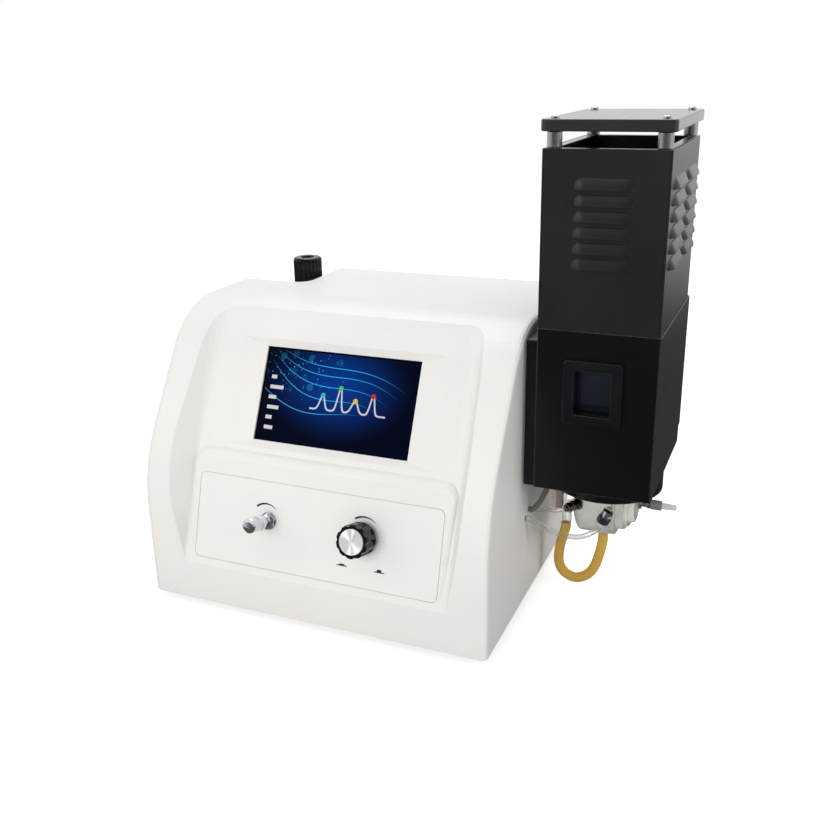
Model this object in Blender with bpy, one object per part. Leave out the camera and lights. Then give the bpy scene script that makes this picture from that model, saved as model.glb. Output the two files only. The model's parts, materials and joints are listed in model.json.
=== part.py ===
"""Flame photometer: a white moulded casing with a touch screen and two valve knobs,
and beside it a black burner tower over a spray chamber with its drain loop.

Every size is in metres. While the pieces are made, x runs right from the casing's left side,
y runs back from its lower front edge and z runs up from its lower edge. At the end an empty
carries them all, so that the origin lies under the middle of the whole instrument."""
import math

import bmesh
import bpy
from mathutils import Matrix, Vector

# General fits
FIT = 0.0003              # gap between pieces that touch
OVERRUN = 0.004           # how far a cutter runs past the wall it cuts
MERGE = 0.000001          # points closer than this are one point

# White casing
CASE_W = 0.340
CASE_D = 0.276
CASE_H = 0.268
WALL = 0.0032             # moulded front cover
SHEET = 0.0020            # rear casing and base plate
KNEE_Z = 0.1295           # height where the upright front turns into the slope
BROW_Y = 0.090            # how far back the slope would meet the roof
KNEE_R = 0.150
BROW_R = 0.083
LEFT_EDGE_R = 0.007
RIGHT_EDGE_R = 0.005
SEAM_Y = 0.100            # the moulded cheeks end here and the rear casing begins
SKIRT_H = 0.014           # height of the roof's skirt over the rear casing
NOTCH_X = 0.078           # corner left free for the air regulator
NOTCH_Y = 0.196
NOTCH_R = 0.015
FOOT_R = 0.011
FOOT_H = 0.008
FOOT_INSET = 0.040

# Recess in the front
FACE_SHIFT = 0.002        # the face sits this far right of the casing's middle
RECESS_HALF_W = 0.132     # half the floor, out to the foot of its side walls
RECESS_FLARE_SHARE = 0.5  # side walls lean outward by this share of their height
RECESS_CUT_H = 0.070
RECESS_TOP_R = 0.022      # fillet along the floor beside the screen
RECESS_FOOT_R = 0.004     # fillet along the floor beside the console
RECESS_LOW_Z = 0.0385     # the floor leaves the front face here
RECESS_KNEE_Y = 0.032
RECESS_KNEE_Z = 0.128
RECESS_BREAK_Z = 0.2435
RECESS_TOP_Y = 0.1045
RECESS_TOP_Z = 0.2607
RECESS_BEND_R = 0.050

# Screen
SCREEN_TILT = math.radians(26.0)
SCREEN_Z = 0.1938
SCREEN_W = 0.1560
SCREEN_H = 0.0885
BEVEL_W = 0.2080
BEVEL_H = 0.1020
BEVEL_DEPTH = 0.0045
WINDOW_LIP = 0.0018
MODULE_W = 0.1720
MODULE_H = 0.1040
GLASS_T = 0.0025
MODULE_T = 0.0090
MODULE_EDGE = 0.0060      # the glass stands out past the metal can by this much

# Console and knob panel
CONSOLE_TILT = math.radians(17.0)
CONSOLE_Z = 0.0375
CONSOLE_LOW_HALF_W = 0.1275
CONSOLE_TOP_HALF_W = 0.1315
CONSOLE_L = 0.1135        # along the tilted face
CONSOLE_CORNER_R = 0.013
CONSOLE_BROW_R = 0.010    # rounding of the upper edge
CONSOLE_SIDE_R = 0.0035   # rounding of the side edges
CONSOLE_T = 0.034
PANEL_W = 0.244
PANEL_L = 0.080
PANEL_START = 0.0086      # from the foot of the tilted face to the panel's lower edge
PANEL_T = 0.0016
PANEL_R = 0.0050
PANEL_GAP = 0.0005
KNOB_LINE = 0.0530        # both knobs sit this far up the tilted face

# Fine adjuster: a needle valve
FINE_X = 0.1255
FINE_NUT_AF = 0.0140
FINE_NUT_T = 0.0035
FINE_NECK_R = 0.0042
FINE_NECK_L = 0.0080
BUSH_R = 0.0050
VALVE_BODY_R = 0.0090
VALVE_BODY_L = 0.0240
BUSH_L = 0.0210           # length of the bush behind the nut
FINE_STEM_R = 0.0025
FINE_REACH = 0.0370       # how far the knob stands out of the panel
FINE_KNOB_R = 0.0068
FINE_KNOB_L = 0.0225
FINE_CHAMFER = 0.0028

# Gas valve
GAS_X = 0.2210
GAS_NUT_AF = 0.0130
GAS_NUT_T = 0.0020
GAS_TRAVEL = 0.0035
GAS_SKIRT_GAP = 0.0050
GAS_KNOB_R = 0.0150
GAS_RIM_R = 0.0136
GAS_KNOB_L = 0.0200
GAS_LOBES = 10
GAS_FLUTE_R = 0.0032
GAS_FLUTE_DEPTH = 0.0015
GAS_CAP_R = 0.0114
GAS_CAP_T = 0.0012
GAS_NUT_GAP = 0.0008
GAS_SHAFT_R = 0.0030

# Light duct between the casing and the burner
DUCT_W = 0.0107
DUCT_BACK = 0.0078        # the duct starts this far behind the box's front
DUCT_SHORT = 0.0088       # and is this much less deep than the box
DUCT_DROP = 0.0028        # its foot hangs this far below the box's
DUCT_H = 0.1346
DUCT_EDGE = 0.0015
LIGHT_BORE_R = 0.018
LIGHT_Z = 0.214

# Burner box
BOX_W = 0.102
BOX_Y = 0.0922
BOX_D = 0.1548
BOX_Z = 0.1252
BOX_PROUD = 0.0015        # the box's top stands this far above the casing's roof
BOX_T = 0.0015
BOX_EDGE_R = 0.0015
BOX_TAIL_D = 0.0080       # the rear cover is a tray this deep
BOX_TAIL_LIFT = 0.0150    # its lower edge stops this far above the box's
WINDOW_X_OFF = -0.0020    # window middle from the box's middle
WINDOW_UP = 0.0923        # window middle above the box's foot
WINDOW_HOLE_W = 0.0305
WINDOW_HOLE_H = 0.0410
BEZEL_W = 0.0500
BEZEL_H = 0.0560
BEZEL_T = 0.0040
BEZEL_R = 0.0040
BEZEL_FLANGE_T = 0.0012
SIGHT_GLASS_T = 0.0030
SIGHT_GLASS_LAP = 0.0030

# Chimney
FLUE_STEP = 0.0005        # the chimney stands in from the box on its left
FLUE_H = 0.1446
FLUE_T = 0.0015
FRAME_W = 0.0090          # rim of the chimney's open top
FRAME_T = 0.0015
LOUVRE_L = 0.0480
LOUVRE_H = 0.0088
LOUVRE_OUT = 0.0042
LOUVRE_T = 0.0012
LOUVRE_PITCH = 0.0125
LOUVRE_ROWS = 6
LOUVRE_DOWN = 0.0219      # upper edge of the top row below the chimney's top
SIDE_LOUVRE_L = 0.0590
SIDE_LOUVRE_PITCH = 0.0690

# Top plate and its posts
PLATE_LIP = 0.0021        # the plate stands out past the chimney by this much
PLATE_T = 0.0094
PLATE_R = 0.0050
PLATE_EDGE = 0.0012
POST_L = 0.0128
POST_R = 0.0060
POST_INSET_X = 0.0075
POST_INSET_Y = 0.0085
SCREW_R = 0.0022
SCREW_HEAD_R = 0.0036
SCREW_HEAD_H = 0.0024

# Spray chamber, burner and their fittings
CHAMBER_OUT = 0.0330      # its closed left end stands this far out from the casing
CHAMBER_BACK = 0.0778     # its axis lies this far behind the box's front
CHAMBER_DROP = 0.0362     # and this far below the box's foot
CHAMBER_L = 0.0490
CHAMBER_R = 0.0330
CHAMBER_COLLAR_R = 0.0270
CHAMBER_COLLAR_L = 0.0080
CHAMBER_WALL = 0.0025
CAP_L = 0.0085
CAP_R = 0.0200
CAP_LIP_R = 0.0235
SKIRT_R = 0.0500
SKIRT_WALL = 0.0016
BURNER_SKIRT_H = 0.0195
RISER_R = 0.0080
RISER_BORE_R = 0.0060
BURNER_IN = 0.0290        # riser from the chamber's closed end
BURNER_HEAD_R = 0.0200
BURNER_HEAD_H = 0.0160
BURNER_RISE = 0.0548      # burner head above the box's foot
BURNER_PORTS = 8
BURNER_PORT_R = 0.0014
NEB_L = 0.0120
NEB_R = 0.0042
SLEEVE_L = 0.0095
SLEEVE_R = 0.0046
TIP_L = 0.0130
TIP_R = 0.0030
CAPILLARY_R = 0.0006
DRAIN_IN = 0.0275
SPIGOT_R = 0.0045
SPIGOT_L = 0.0040
DRAIN_TUBE_R = 0.00475
ELBOW_R = 0.0058
ELBOW_BEND = 0.0075       # centre line of its quarter turn
ELBOW_STEPS = 4
AIR_TUBE_R = 0.0020
GAS_TUBE_R = 0.0025
LEAD_R = 0.0025
UNION_R = 0.0062
UNION_L = 0.0160
GAS_UNION_R = 0.0062
GAS_UNION_L = 0.0190
GAS_UNION_AXIS = (-0.42, 0.0, -0.90)
GAS_UNION_IN = 0.0300
GAS_UNION_AHEAD = 0.0410  # ahead of the chamber's axis
GAS_UNION_DROP = 0.0130
AIR_UNION_OUT = 0.0040
AIR_UNION_AHEAD = 0.0400
AIR_PORT_Z = 0.0850
GAS_PORT_Y = 0.1110
GAS_PORT_Z = 0.0840
LEAD_PORT_Y = 0.1210
LEAD_PORT_Z = 0.0890
LEAD_IN = 0.0047
LEAD_BACK = 0.0428
ELBOW_OUT = 0.0090
ELBOW_DROP = 0.0320       # its lower mouth below the chamber's axis
LOOP_Z = -0.0012          # lowest point of the drain loop
PILLAR_AF = 0.0100
PILLAR_IN = 0.0162        # from the box's left side and front
PILLAR_BACK = 0.0258
PILLAR_Z = 0.0980

# Routes of the lines, as shares of the way from their start to their end along x, y and z
AIR_SHARES = ((0.0, 0.0, 0.0), (0.194, 0.0, 0.0), (0.45, 0.0, 0.5), (0.74, 0.0, 1.0),
              (1.0, 0.0, 1.0))
GAS_SHARES = ((0.0, 0.0, 0.0), (0.11, 0.08, -0.32), (0.25, 0.25, -0.4), (0.46, 0.5, -0.2),
              (0.68, 0.78, 0.28), (0.825, 0.955, 0.8), (0.905, 1.0, 1.0), (0.95, 1.0, 1.0),
              (1.0, 1.0, 1.0))
LEAD_SHARES = ((0.0, 0.0, 0.0), (0.167, 0.0, 0.0), (0.333, 0.0, 0.0), (0.667, 0.286, 0.223),
               (0.917, 0.786, 0.557), (1.0, 1.0, 0.808), (1.0, 1.0, 1.0))
LOOP_SHARES = ((0.0, 0.0, 1.0), (0.0, 0.0, 0.914), (-0.06, 0.0, 0.759), (-0.137, 0.0, 0.536),
               (-0.156, 0.0, 0.278), (-0.027, 0.0, 0.089), (0.288, 0.0, 0.0),
               (0.603, 0.0, 0.081), (0.808, 0.0, 0.261), (0.932, 0.0, 0.536),
               (0.995, 0.0, 0.759))

# Air regulator in the notch
REG_Y = 0.2430
REG_KNOB_TOP = 0.2850
REG_KNOB_R = 0.0152
REG_KNOB_H = 0.0270
REG_KNOB_RIBS = 20
REG_KNOB_RIB = 0.0007
REG_BODY_W = 0.0400
REG_BODY_H = 0.0440
REG_BONNET_R = 0.0135
REG_BONNET_H = 0.0060
REG_BOWL_R = 0.0175
REG_BOWL_H = 0.0620
REG_BRACKET_T = 0.0030
REG_PORT_R = 0.0050
REG_PORT_Z = 0.2200

# Rear and inner pieces
INLET_W = 0.0480
INLET_H = 0.0280
INLET_T = 0.0030
INLET_DEPTH = 0.0220
INLET_IN = 0.0500         # from the casing's right side
INLET_Z = 0.0500
SOCKET_W = 0.0240
SOCKET_H = 0.0168
SOCKET_DEPTH = 0.0154
SWITCH_IN = 0.1050        # from the casing's right side
SWITCH_W = 0.0150
SWITCH_H = 0.0210
SWITCH_DEPTH = 0.0150
SWITCH_RIM = 0.0015
SWITCH_T = 0.0015
ROCKER_W = 0.0100
ROCKER_H = 0.0150
ROCKER_TILT = math.radians(12.0)
BARB_R = 0.0050
BARB_L = 0.0160
BARB_X = 0.1500
BARB_Z = 0.0600
VENT_ROWS = 6
VENT_L = 0.0500
VENT_W = 0.0030
VENT_PITCH = 0.0080
VENT_IN = 0.0800          # from the casing's right side
VENT_Z = 0.1300
BOARD_W = 0.1600
BOARD_D = 0.0700
BOARD_T = 0.0016
BOARD_X = 0.1000
BOARD_Y = 0.0700
BOARD_LEG_H = 0.0080
BOARD_LEG_R = 0.0030
SUPPLY_W = 0.0600
SUPPLY_D = 0.0900
SUPPLY_H = 0.0380
SUPPLY_X = 0.1500
SUPPLY_Y = 0.1750
OPTIC_W = 0.0600
OPTIC_D = 0.0800
OPTIC_H = 0.0600
OPTIC_GAP = 0.0100
COLUMN_D = 0.0400
LENS_R = 0.0160
LENS_L = 0.0240

# Places worked out from the sizes above
FACE_X = CASE_W / 2 + FACE_SHIFT
INLET_X = CASE_W - INLET_IN
SWITCH_X = CASE_W - SWITCH_IN
VENT_X = CASE_W - VENT_IN
DUCT_X = CASE_W + FIT
BOX_X = DUCT_X + DUCT_W + FIT
BOX_MID_X = BOX_X + BOX_W / 2
BOX_TOP = CASE_H + BOX_PROUD
DUCT_Y = BOX_Y + DUCT_BACK
DUCT_D = BOX_D - DUCT_SHORT
DUCT_Z = BOX_Z - DUCT_DROP
WINDOW_Z = BOX_Z + WINDOW_UP
FLUE_X = BOX_X + FLUE_STEP
FLUE_W = BOX_W - FLUE_STEP * 3
FLUE_D = BOX_D
FLUE_Z = BOX_TOP + FIT
FLUE_TOP = FLUE_Z + FLUE_H
FLUE_MID_X = FLUE_X + FLUE_W / 2
LOUVRE_TOP_Z = FLUE_TOP - LOUVRE_DOWN
PLATE_Z = FLUE_TOP + POST_L
PLATE_W = FLUE_W + PLATE_LIP * 2
PLATE_D = FLUE_D + PLATE_LIP * 2
LEAN = math.atan2(BROW_Y, CASE_H - KNEE_Z)
CHAMBER_X = CASE_W + CHAMBER_OUT
CHAMBER_Y = BOX_Y + CHAMBER_BACK
CHAMBER_Z = BOX_Z - CHAMBER_DROP
LIGHT_Y = CHAMBER_Y
BURNER_X = CHAMBER_X + BURNER_IN
BURNER_HEAD_Z = BOX_Z + BURNER_RISE
DRAIN_X = CHAMBER_X + DRAIN_IN
GAS_UNION_X = CHAMBER_X + GAS_UNION_IN
AIR_UNION_X = CHAMBER_X - AIR_UNION_OUT
GAS_UNION_Y = CHAMBER_Y - GAS_UNION_AHEAD
GAS_UNION_Z = CHAMBER_Z - GAS_UNION_DROP
AIR_LINE_Y = CHAMBER_Y - AIR_UNION_AHEAD
ELBOW_X = CHAMBER_X - ELBOW_OUT
ELBOW_Z = CHAMBER_Z - ELBOW_DROP
LEAD_TOP_X = BOX_X + LEAD_IN
LEAD_TOP_Y = BOX_Y + LEAD_BACK
PILLAR_X = BOX_X + PILLAR_IN
PILLAR_Y = BOX_Y + PILLAR_BACK
CAP_X = CHAMBER_X + CHAMBER_L + FIT
NEB_X = CAP_X + CAP_L + FIT
SLEEVE_X = NEB_X + NEB_L + FIT
TIP_X = SLEEVE_X + SLEEVE_L + FIT
RIGHT_END = TIP_X + TIP_L
BARB_END = CASE_D + BARB_L
REG_X = NOTCH_X - FIT * 2 - REG_BRACKET_T - REG_BODY_W / 2
PANEL_OUT = Vector((0.0, -math.cos(CONSOLE_TILT), math.sin(CONSOLE_TILT)))
PANEL_UP = Vector((0.0, math.sin(CONSOLE_TILT), math.cos(CONSOLE_TILT)))


def clear_scene():
    for obj in list(bpy.data.objects):
        bpy.data.objects.remove(obj)


def material(name, colour, roughness, metallic=0.0, see_through=0.0):
    made = bpy.data.materials.new(name)
    made.use_nodes = True
    shader = made.node_tree.nodes["Principled BSDF"]
    shader.inputs["Base Color"].default_value = (*colour, 1.0)
    shader.inputs["Roughness"].default_value = roughness
    shader.inputs["Metallic"].default_value = metallic
    shader.inputs["Transmission Weight"].default_value = see_through
    return made


def finish(name, bm, mat=None, place=None, smooth=True):
    """Turn a bmesh into an object, in the frame that place gives."""
    bmesh.ops.recalc_face_normals(bm, faces=bm.faces)
    mesh = bpy.data.meshes.new(name)
    bm.to_mesh(mesh)
    bm.free()
    if smooth:
        mesh.shade_smooth()
        mesh.set_sharp_from_angle(angle=math.radians(32.0))
    obj = bpy.data.objects.new(name, mesh)
    bpy.context.scene.collection.objects.link(obj)
    if mat:
        mesh.materials.append(mat)
    if place:
        obj.matrix_world = place
    return obj


def settle(obj):
    """Replace the object's mesh by what its modifiers make of it."""
    bpy.context.view_layer.update()
    graph = bpy.context.evaluated_depsgraph_get()
    mesh = bpy.data.meshes.new_from_object(obj.evaluated_get(graph))
    obj.modifiers.clear()
    obj.data = mesh


def combine(target, tool, operation="DIFFERENCE"):
    """Cut, join or intersect with a tool, which is used up."""
    step = target.modifiers.new(operation.lower(), "BOOLEAN")
    step.operation = operation
    step.solver = "EXACT"
    step.object = tool
    settle(target)
    bpy.data.objects.remove(tool)
    return target


def bevelled(obj, width, segments=2, angle=math.radians(40.0)):
    step = obj.modifiers.new("edges", "BEVEL")
    step.width = width
    step.segments = segments
    step.angle_limit = angle
    step.limit_method = "ANGLE"
    settle(obj)
    return obj


def fillet(points, radii, steps, closed=True):
    """A polygon's corners rounded, each with its own radius."""
    made = []
    count = len(points)
    for index, corner in enumerate(points):
        corner = Vector(corner)
        radius = radii[index]
        ends = not closed and index in (0, count - 1)
        if radius <= 0.0 or ends:
            made.append(corner)
            continue
        back = (Vector(points[index - 1]) - corner).normalized()
        ahead = (Vector(points[(index + 1) % count]) - corner).normalized()
        half = back.angle(ahead) / 2
        reach = radius / math.tan(half)
        centre = corner + (back + ahead).normalized() * (radius / math.sin(half))
        start = corner + back * reach - centre
        stop = corner + ahead * reach - centre
        sweep = start.angle(stop)
        for step in range(steps + 1):
            share = step / steps
            arc = (start * math.sin((1 - share) * sweep) + stop * math.sin(share * sweep))
            made.append(centre + arc / math.sin(sweep))
    return made


def rectangle(width, height, radius=0.0, steps=4, centre=(0.0, 0.0)):
    cx, cy = centre
    corners = [(cx - width / 2, cy - height / 2), (cx + width / 2, cy - height / 2),
               (cx + width / 2, cy + height / 2), (cx - width / 2, cy + height / 2)]
    return fillet(corners, [radius] * len(corners), steps)


def prism(outline, low, high):
    """An outline in the XY plane, extruded from one height to another."""
    bm = bmesh.new()
    ring = [bm.verts.new((p[0], p[1], low)) for p in outline]
    face = bm.faces.new(ring)
    grown = bmesh.ops.extrude_face_region(bm, geom=[face])
    moved = [item for item in grown["geom"] if isinstance(item, bmesh.types.BMVert)]
    bmesh.ops.translate(bm, vec=(0.0, 0.0, high - low), verts=moved)
    return bm


def block(x, y, z):
    """A block from three pairs of low and high bounds."""
    return prism([(x[0], y[0]), (x[1], y[0]), (x[1], y[1]), (x[0], y[1])], z[0], z[1])


def skin(rings):
    """A closed solid over a row of equal rings of points."""
    bm = bmesh.new()
    rows = [[bm.verts.new(point) for point in ring] for ring in rings]
    count = len(rows[0])
    for low, high in zip(rows, rows[1:]):
        for index in range(count):
            nxt = (index + 1) % count
            bm.faces.new((low[index], low[nxt], high[nxt], high[index]))
    bm.faces.new(rows[0])
    bm.faces.new(list(reversed(rows[-1])))
    return bm


def turned(profile, steps, closed=False):
    """A profile of (radius, height) points spun around Z."""
    bm = bmesh.new()
    verts = [bm.verts.new((radius, 0.0, height)) for radius, height in profile]
    edges = [bm.edges.new(pair) for pair in zip(verts, verts[1:])]
    if closed:
        edges.append(bm.edges.new((verts[-1], verts[0])))
    bmesh.ops.spin(bm, geom=verts + edges, axis=(0.0, 0.0, 1.0), cent=(0.0, 0.0, 0.0),
                   steps=steps, angle=math.tau, use_merge=False)
    bmesh.ops.remove_doubles(bm, verts=bm.verts, dist=MERGE)
    return bm


def rod(radius, low, high, steps=24):
    return turned([(0.0, low), (radius, low), (radius, high), (0.0, high)], steps)


def hexagon(across_flats, low, high):
    radius = across_flats / 2 / math.cos(math.radians(30.0))
    return rod(radius, low, high, steps=6)


def along(axis, place):
    """A frame at a place whose Z points along axis."""
    turn = Vector(axis).to_track_quat("Z", "Y").to_matrix().to_4x4()
    return Matrix.Translation(Vector(place)) @ turn


def tube(name, points, radius, mat, sides=2, rings=3):
    """A round tube along a smooth curve through the points."""
    curve = bpy.data.curves.new(name, "CURVE")
    curve.dimensions = "3D"
    curve.bevel_depth = radius
    curve.bevel_resolution = sides
    curve.use_fill_caps = True
    path = smooth_path([Vector(p) for p in points], rings)
    line = curve.splines.new("POLY")
    line.points.add(len(path) - 1)
    for point, place in zip(line.points, path):
        point.co = (*place, 1.0)
    obj = bpy.data.objects.new(name, curve)
    bpy.context.scene.collection.objects.link(obj)
    curve.materials.append(mat)
    return obj


def smooth_path(points, rings):
    """Points of a Catmull-Rom curve through the given points."""
    ends = [points[0] * 2 - points[1], *points, points[-1] * 2 - points[-2]]
    path = []
    for a, b, c, d in zip(ends, ends[1:], ends[2:], ends[3:]):
        for step in range(rings):
            t = step / rings
            path.append((b * 2 + (c - a) * t + (a * 2 - b * 5 + c * 4 - d) * t * t
                         + (b * 3 - a - c * 3 + d) * t * t * t) / 2)
    path.append(points[-1])
    return path


def panel_frame(x, up, out=0.0):
    """A frame on the console's tilted face: X right, Y up the face, Z out of it."""
    place = Vector((x, 0.0, CONSOLE_Z)) + PANEL_UP * up + PANEL_OUT * out
    return Matrix.Translation(place) @ Matrix.Rotation(math.pi / 2 - CONSOLE_TILT, 4, "X")


def floor_line():
    """Side view of the recess floor as corner points (y, z), low to high."""
    low = Vector((0.0, RECESS_LOW_Z))
    knee = Vector((RECESS_KNEE_Y, RECESS_KNEE_Z))
    rise = RECESS_BREAK_Z - RECESS_KNEE_Z
    bend = knee + Vector((rise * math.tan(SCREEN_TILT), rise))
    top = Vector((RECESS_TOP_Y, RECESS_TOP_Z))
    start = low + (low - knee).normalized() * RECESS_CUT_H / 2
    stop = top + (top - bend).normalized() * RECESS_CUT_H / 2
    return [start, knee, bend, stop]


def floor_y(z):
    """How far back the recess floor lies at the screen's height."""
    return RECESS_KNEE_Y + (z - RECESS_KNEE_Z) * math.tan(SCREEN_TILT)


def screen_frame(out=0.0):
    """A frame on the recess floor at the screen's middle: X right, Y up the floor, Z out."""
    normal = Vector((0.0, -math.cos(SCREEN_TILT), math.sin(SCREEN_TILT)))
    place = Vector((FACE_X, floor_y(SCREEN_Z), SCREEN_Z)) + normal * out
    return Matrix.Translation(place) @ Matrix.Rotation(math.pi / 2 - SCREEN_TILT, 4, "X")


def casing_profile(inset, rear, low, steps):
    """Side outline of the casing as (y, z) points, its walls moved in by inset."""
    normal = Vector((math.cos(LEAN), -math.sin(LEAN)))
    start = Vector((0.0, KNEE_Z)) + normal * inset
    knee_z = start.y + (inset - start.x) / math.tan(LEAN)
    brow_y = start.x + (CASE_H - inset - start.y) * math.tan(LEAN)
    corners = [(inset, low), (inset, knee_z), (brow_y, CASE_H - inset),
               (rear, CASE_H - inset), (rear, low)]
    return fillet(corners, [0.0, KNEE_R - inset, BROW_R - inset, 0.0, 0.0], steps)


def casing_solid(name, wall, low):
    """The casing's outer form, or the space inside it when a wall is given."""
    rings = []
    steps = 5 if wall else 9
    quarter = [math.radians(angle) for angle in (0.0, 30.0, 60.0, 90.0)]
    for radius, edge, sign in ((LEFT_EDGE_R, 0.0, 1), (RIGHT_EDGE_R, CASE_W, -1)):
        inner = radius - wall
        side = []
        for angle in quarter:
            x = edge + sign * (wall + inner * (1 - math.cos(angle)))
            inset = wall + inner * (1 - math.sin(angle))
            outline = casing_profile(inset, CASE_D - inset, low, steps)
            side.append([(x, y, z) for y, z in outline])
        rings += side if sign > 0 else side[::-1]
    return finish(name, skin(rings))


def notch_solid(grow, low, high):
    """The free corner for the regulator, as a block with a rounded inner corner."""
    far = CASE_D + OVERRUN
    corners = [(-OVERRUN, NOTCH_Y - grow), (NOTCH_X + grow, NOTCH_Y - grow),
               (NOTCH_X + grow, far), (-OVERRUN, far)]
    outline = fillet(corners, [0.0, NOTCH_R + grow, 0.0, 0.0], 5)
    return finish("notch", prism(outline, low, high))


def recess_solid(grow):
    """What the recess takes out of the front, or that space grown by a wall."""
    corners = floor_line()
    steps = 3 if grow else 5
    line = fillet(corners, [0.0, RECESS_BEND_R, RECESS_BEND_R, 0.0], steps - 1, closed=False)
    rings = []
    for index, (y, z) in enumerate(line):
        before = line[max(index - 1, 0)]
        after = line[min(index + 1, len(line) - 1)]
        run = (Vector(after) - Vector(before)).normalized()
        out = Vector((0.0, -run.y, run.x))
        share = min(max((z - RECESS_KNEE_Z) / (SCREEN_Z - RECESS_KNEE_Z), 0.0), 1.0)
        radius = RECESS_FOOT_R + (RECESS_TOP_R - RECESS_FOOT_R) * share + grow
        foot = RECESS_HALF_W + grow
        wide = foot + RECESS_CUT_H * RECESS_FLARE_SHARE
        shape = [(-wide, RECESS_CUT_H), (-foot, 0.0), (foot, 0.0), (wide, RECESS_CUT_H)]
        shape = fillet(shape, [0.0, radius, radius, 0.0], steps, closed=False)
        base = Vector((FACE_X, y, z)) - out * grow
        rings.append([base + Vector((across, 0.0, 0.0)) + out * up for across, up in shape])
    return finish("recess", skin(rings))


def console_solid():
    """The raised console under the screen, with rounded upper and side edges."""
    layers = []
    for angle in (0.0, 22.5, 45.0, 67.5, 90.0):
        turn = math.radians(angle)
        depth = CONSOLE_BROW_R * (1 - math.cos(turn))
        layers.append((depth, CONSOLE_BROW_R * (1 - math.sin(turn))))
    layers.append((CONSOLE_T, 0.0))
    rings = []
    for depth, brow_inset in layers:
        left = max(CONSOLE_SIDE_R - depth, 0.0)
        side_inset = CONSOLE_SIDE_R - math.sqrt(CONSOLE_SIDE_R ** 2 - left ** 2)
        low = CONSOLE_LOW_HALF_W - side_inset
        top = CONSOLE_TOP_HALF_W - side_inset
        high = CONSOLE_L - brow_inset
        corners = [(-low, -CONSOLE_BROW_R), (low, -CONSOLE_BROW_R), (top, high), (-top, high)]
        outline = fillet(corners, [0.0, 0.0, CONSOLE_CORNER_R, CONSOLE_CORNER_R], 5)
        rings.append([(p.x, p.y, -depth) for p in outline])
    return finish("console", skin(rings), place=panel_frame(FACE_X, 0.0))


def screen_bevel(grow, low):
    """The shallow funnel round the screen, from over the floor down to the window."""
    slope_x = (BEVEL_W - SCREEN_W) / BEVEL_DEPTH
    slope_y = (BEVEL_H - SCREEN_H) / BEVEL_DEPTH
    over = BEVEL_DEPTH / 4
    rings = []
    for height in (over, low):
        deep = max(height, -BEVEL_DEPTH)
        wide = BEVEL_W + slope_x * deep + grow * 2
        tall = BEVEL_H + slope_y * deep + grow * 2
        rings.append([(p.x, p.y, height) for p in rectangle(wide, tall)])
    return finish("bevel", skin(rings), place=screen_frame())


def make_front_cover(mat):
    """The moulded front: recess, console, screen funnel, cheeks and roof in one shell."""
    cover = casing_solid("front_cover", 0.0, 0.0)
    cover.data.materials.append(mat)
    combine(cover, notch_solid(0.0, -OVERRUN, CASE_H + OVERRUN))
    recess = recess_solid(0.0)
    combine(recess, console_solid())
    combine(cover, recess)
    inside = casing_solid("inside", WALL, -OVERRUN)
    combine(inside, notch_solid(WALL, -OVERRUN * 2, CASE_H + OVERRUN))
    combine(inside, recess_solid(WALL))
    rim = BEVEL_DEPTH + WINDOW_LIP
    seat = rectangle(BEVEL_W, BEVEL_H)
    combine(inside, finish("seat", prism(seat, -rim, CONSOLE_T), place=screen_frame()))
    combine(cover, inside)
    combine(cover, screen_bevel(0.0, -BEVEL_DEPTH))
    window = rectangle(SCREEN_W, SCREEN_H)
    through = prism(window, -CONSOLE_T, CONSOLE_T)
    combine(cover, finish("window", through, place=screen_frame()))
    pocket = rectangle(PANEL_W + PANEL_GAP * 2, PANEL_L + PANEL_GAP * 2, PANEL_R + PANEL_GAP)
    middle = panel_frame(FACE_X, PANEL_START + PANEL_L / 2)
    combine(cover, finish("pocket", prism(pocket, -PANEL_T - FIT, OVERRUN), place=middle))
    for x in (FINE_X, GAS_X):
        hole = rod(BUSH_R + FIT, -CONSOLE_T, CONSOLE_T, steps=18)
        combine(cover, finish("hole", hole, place=panel_frame(x, KNOB_LINE)))
    back = block((-OVERRUN, CASE_W + OVERRUN), (SEAM_Y, CASE_D + OVERRUN),
                 (-OVERRUN, CASE_H - SKIRT_H))
    return combine(cover, finish("back", back))


def casing_plan(inset):
    """Plan outline of the rear casing's outer face, moved inward by inset."""
    corners = [(inset, SEAM_Y + FIT), (inset, NOTCH_Y - inset), (NOTCH_X + inset, NOTCH_Y - inset),
               (NOTCH_X + inset, CASE_D - inset), (CASE_W - inset, CASE_D - inset),
               (CASE_W - inset, SEAM_Y + FIT)]
    return fillet(corners, [0.0, 0.0, NOTCH_R + inset, 0.0, 0.0, 0.0], 5)


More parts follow.
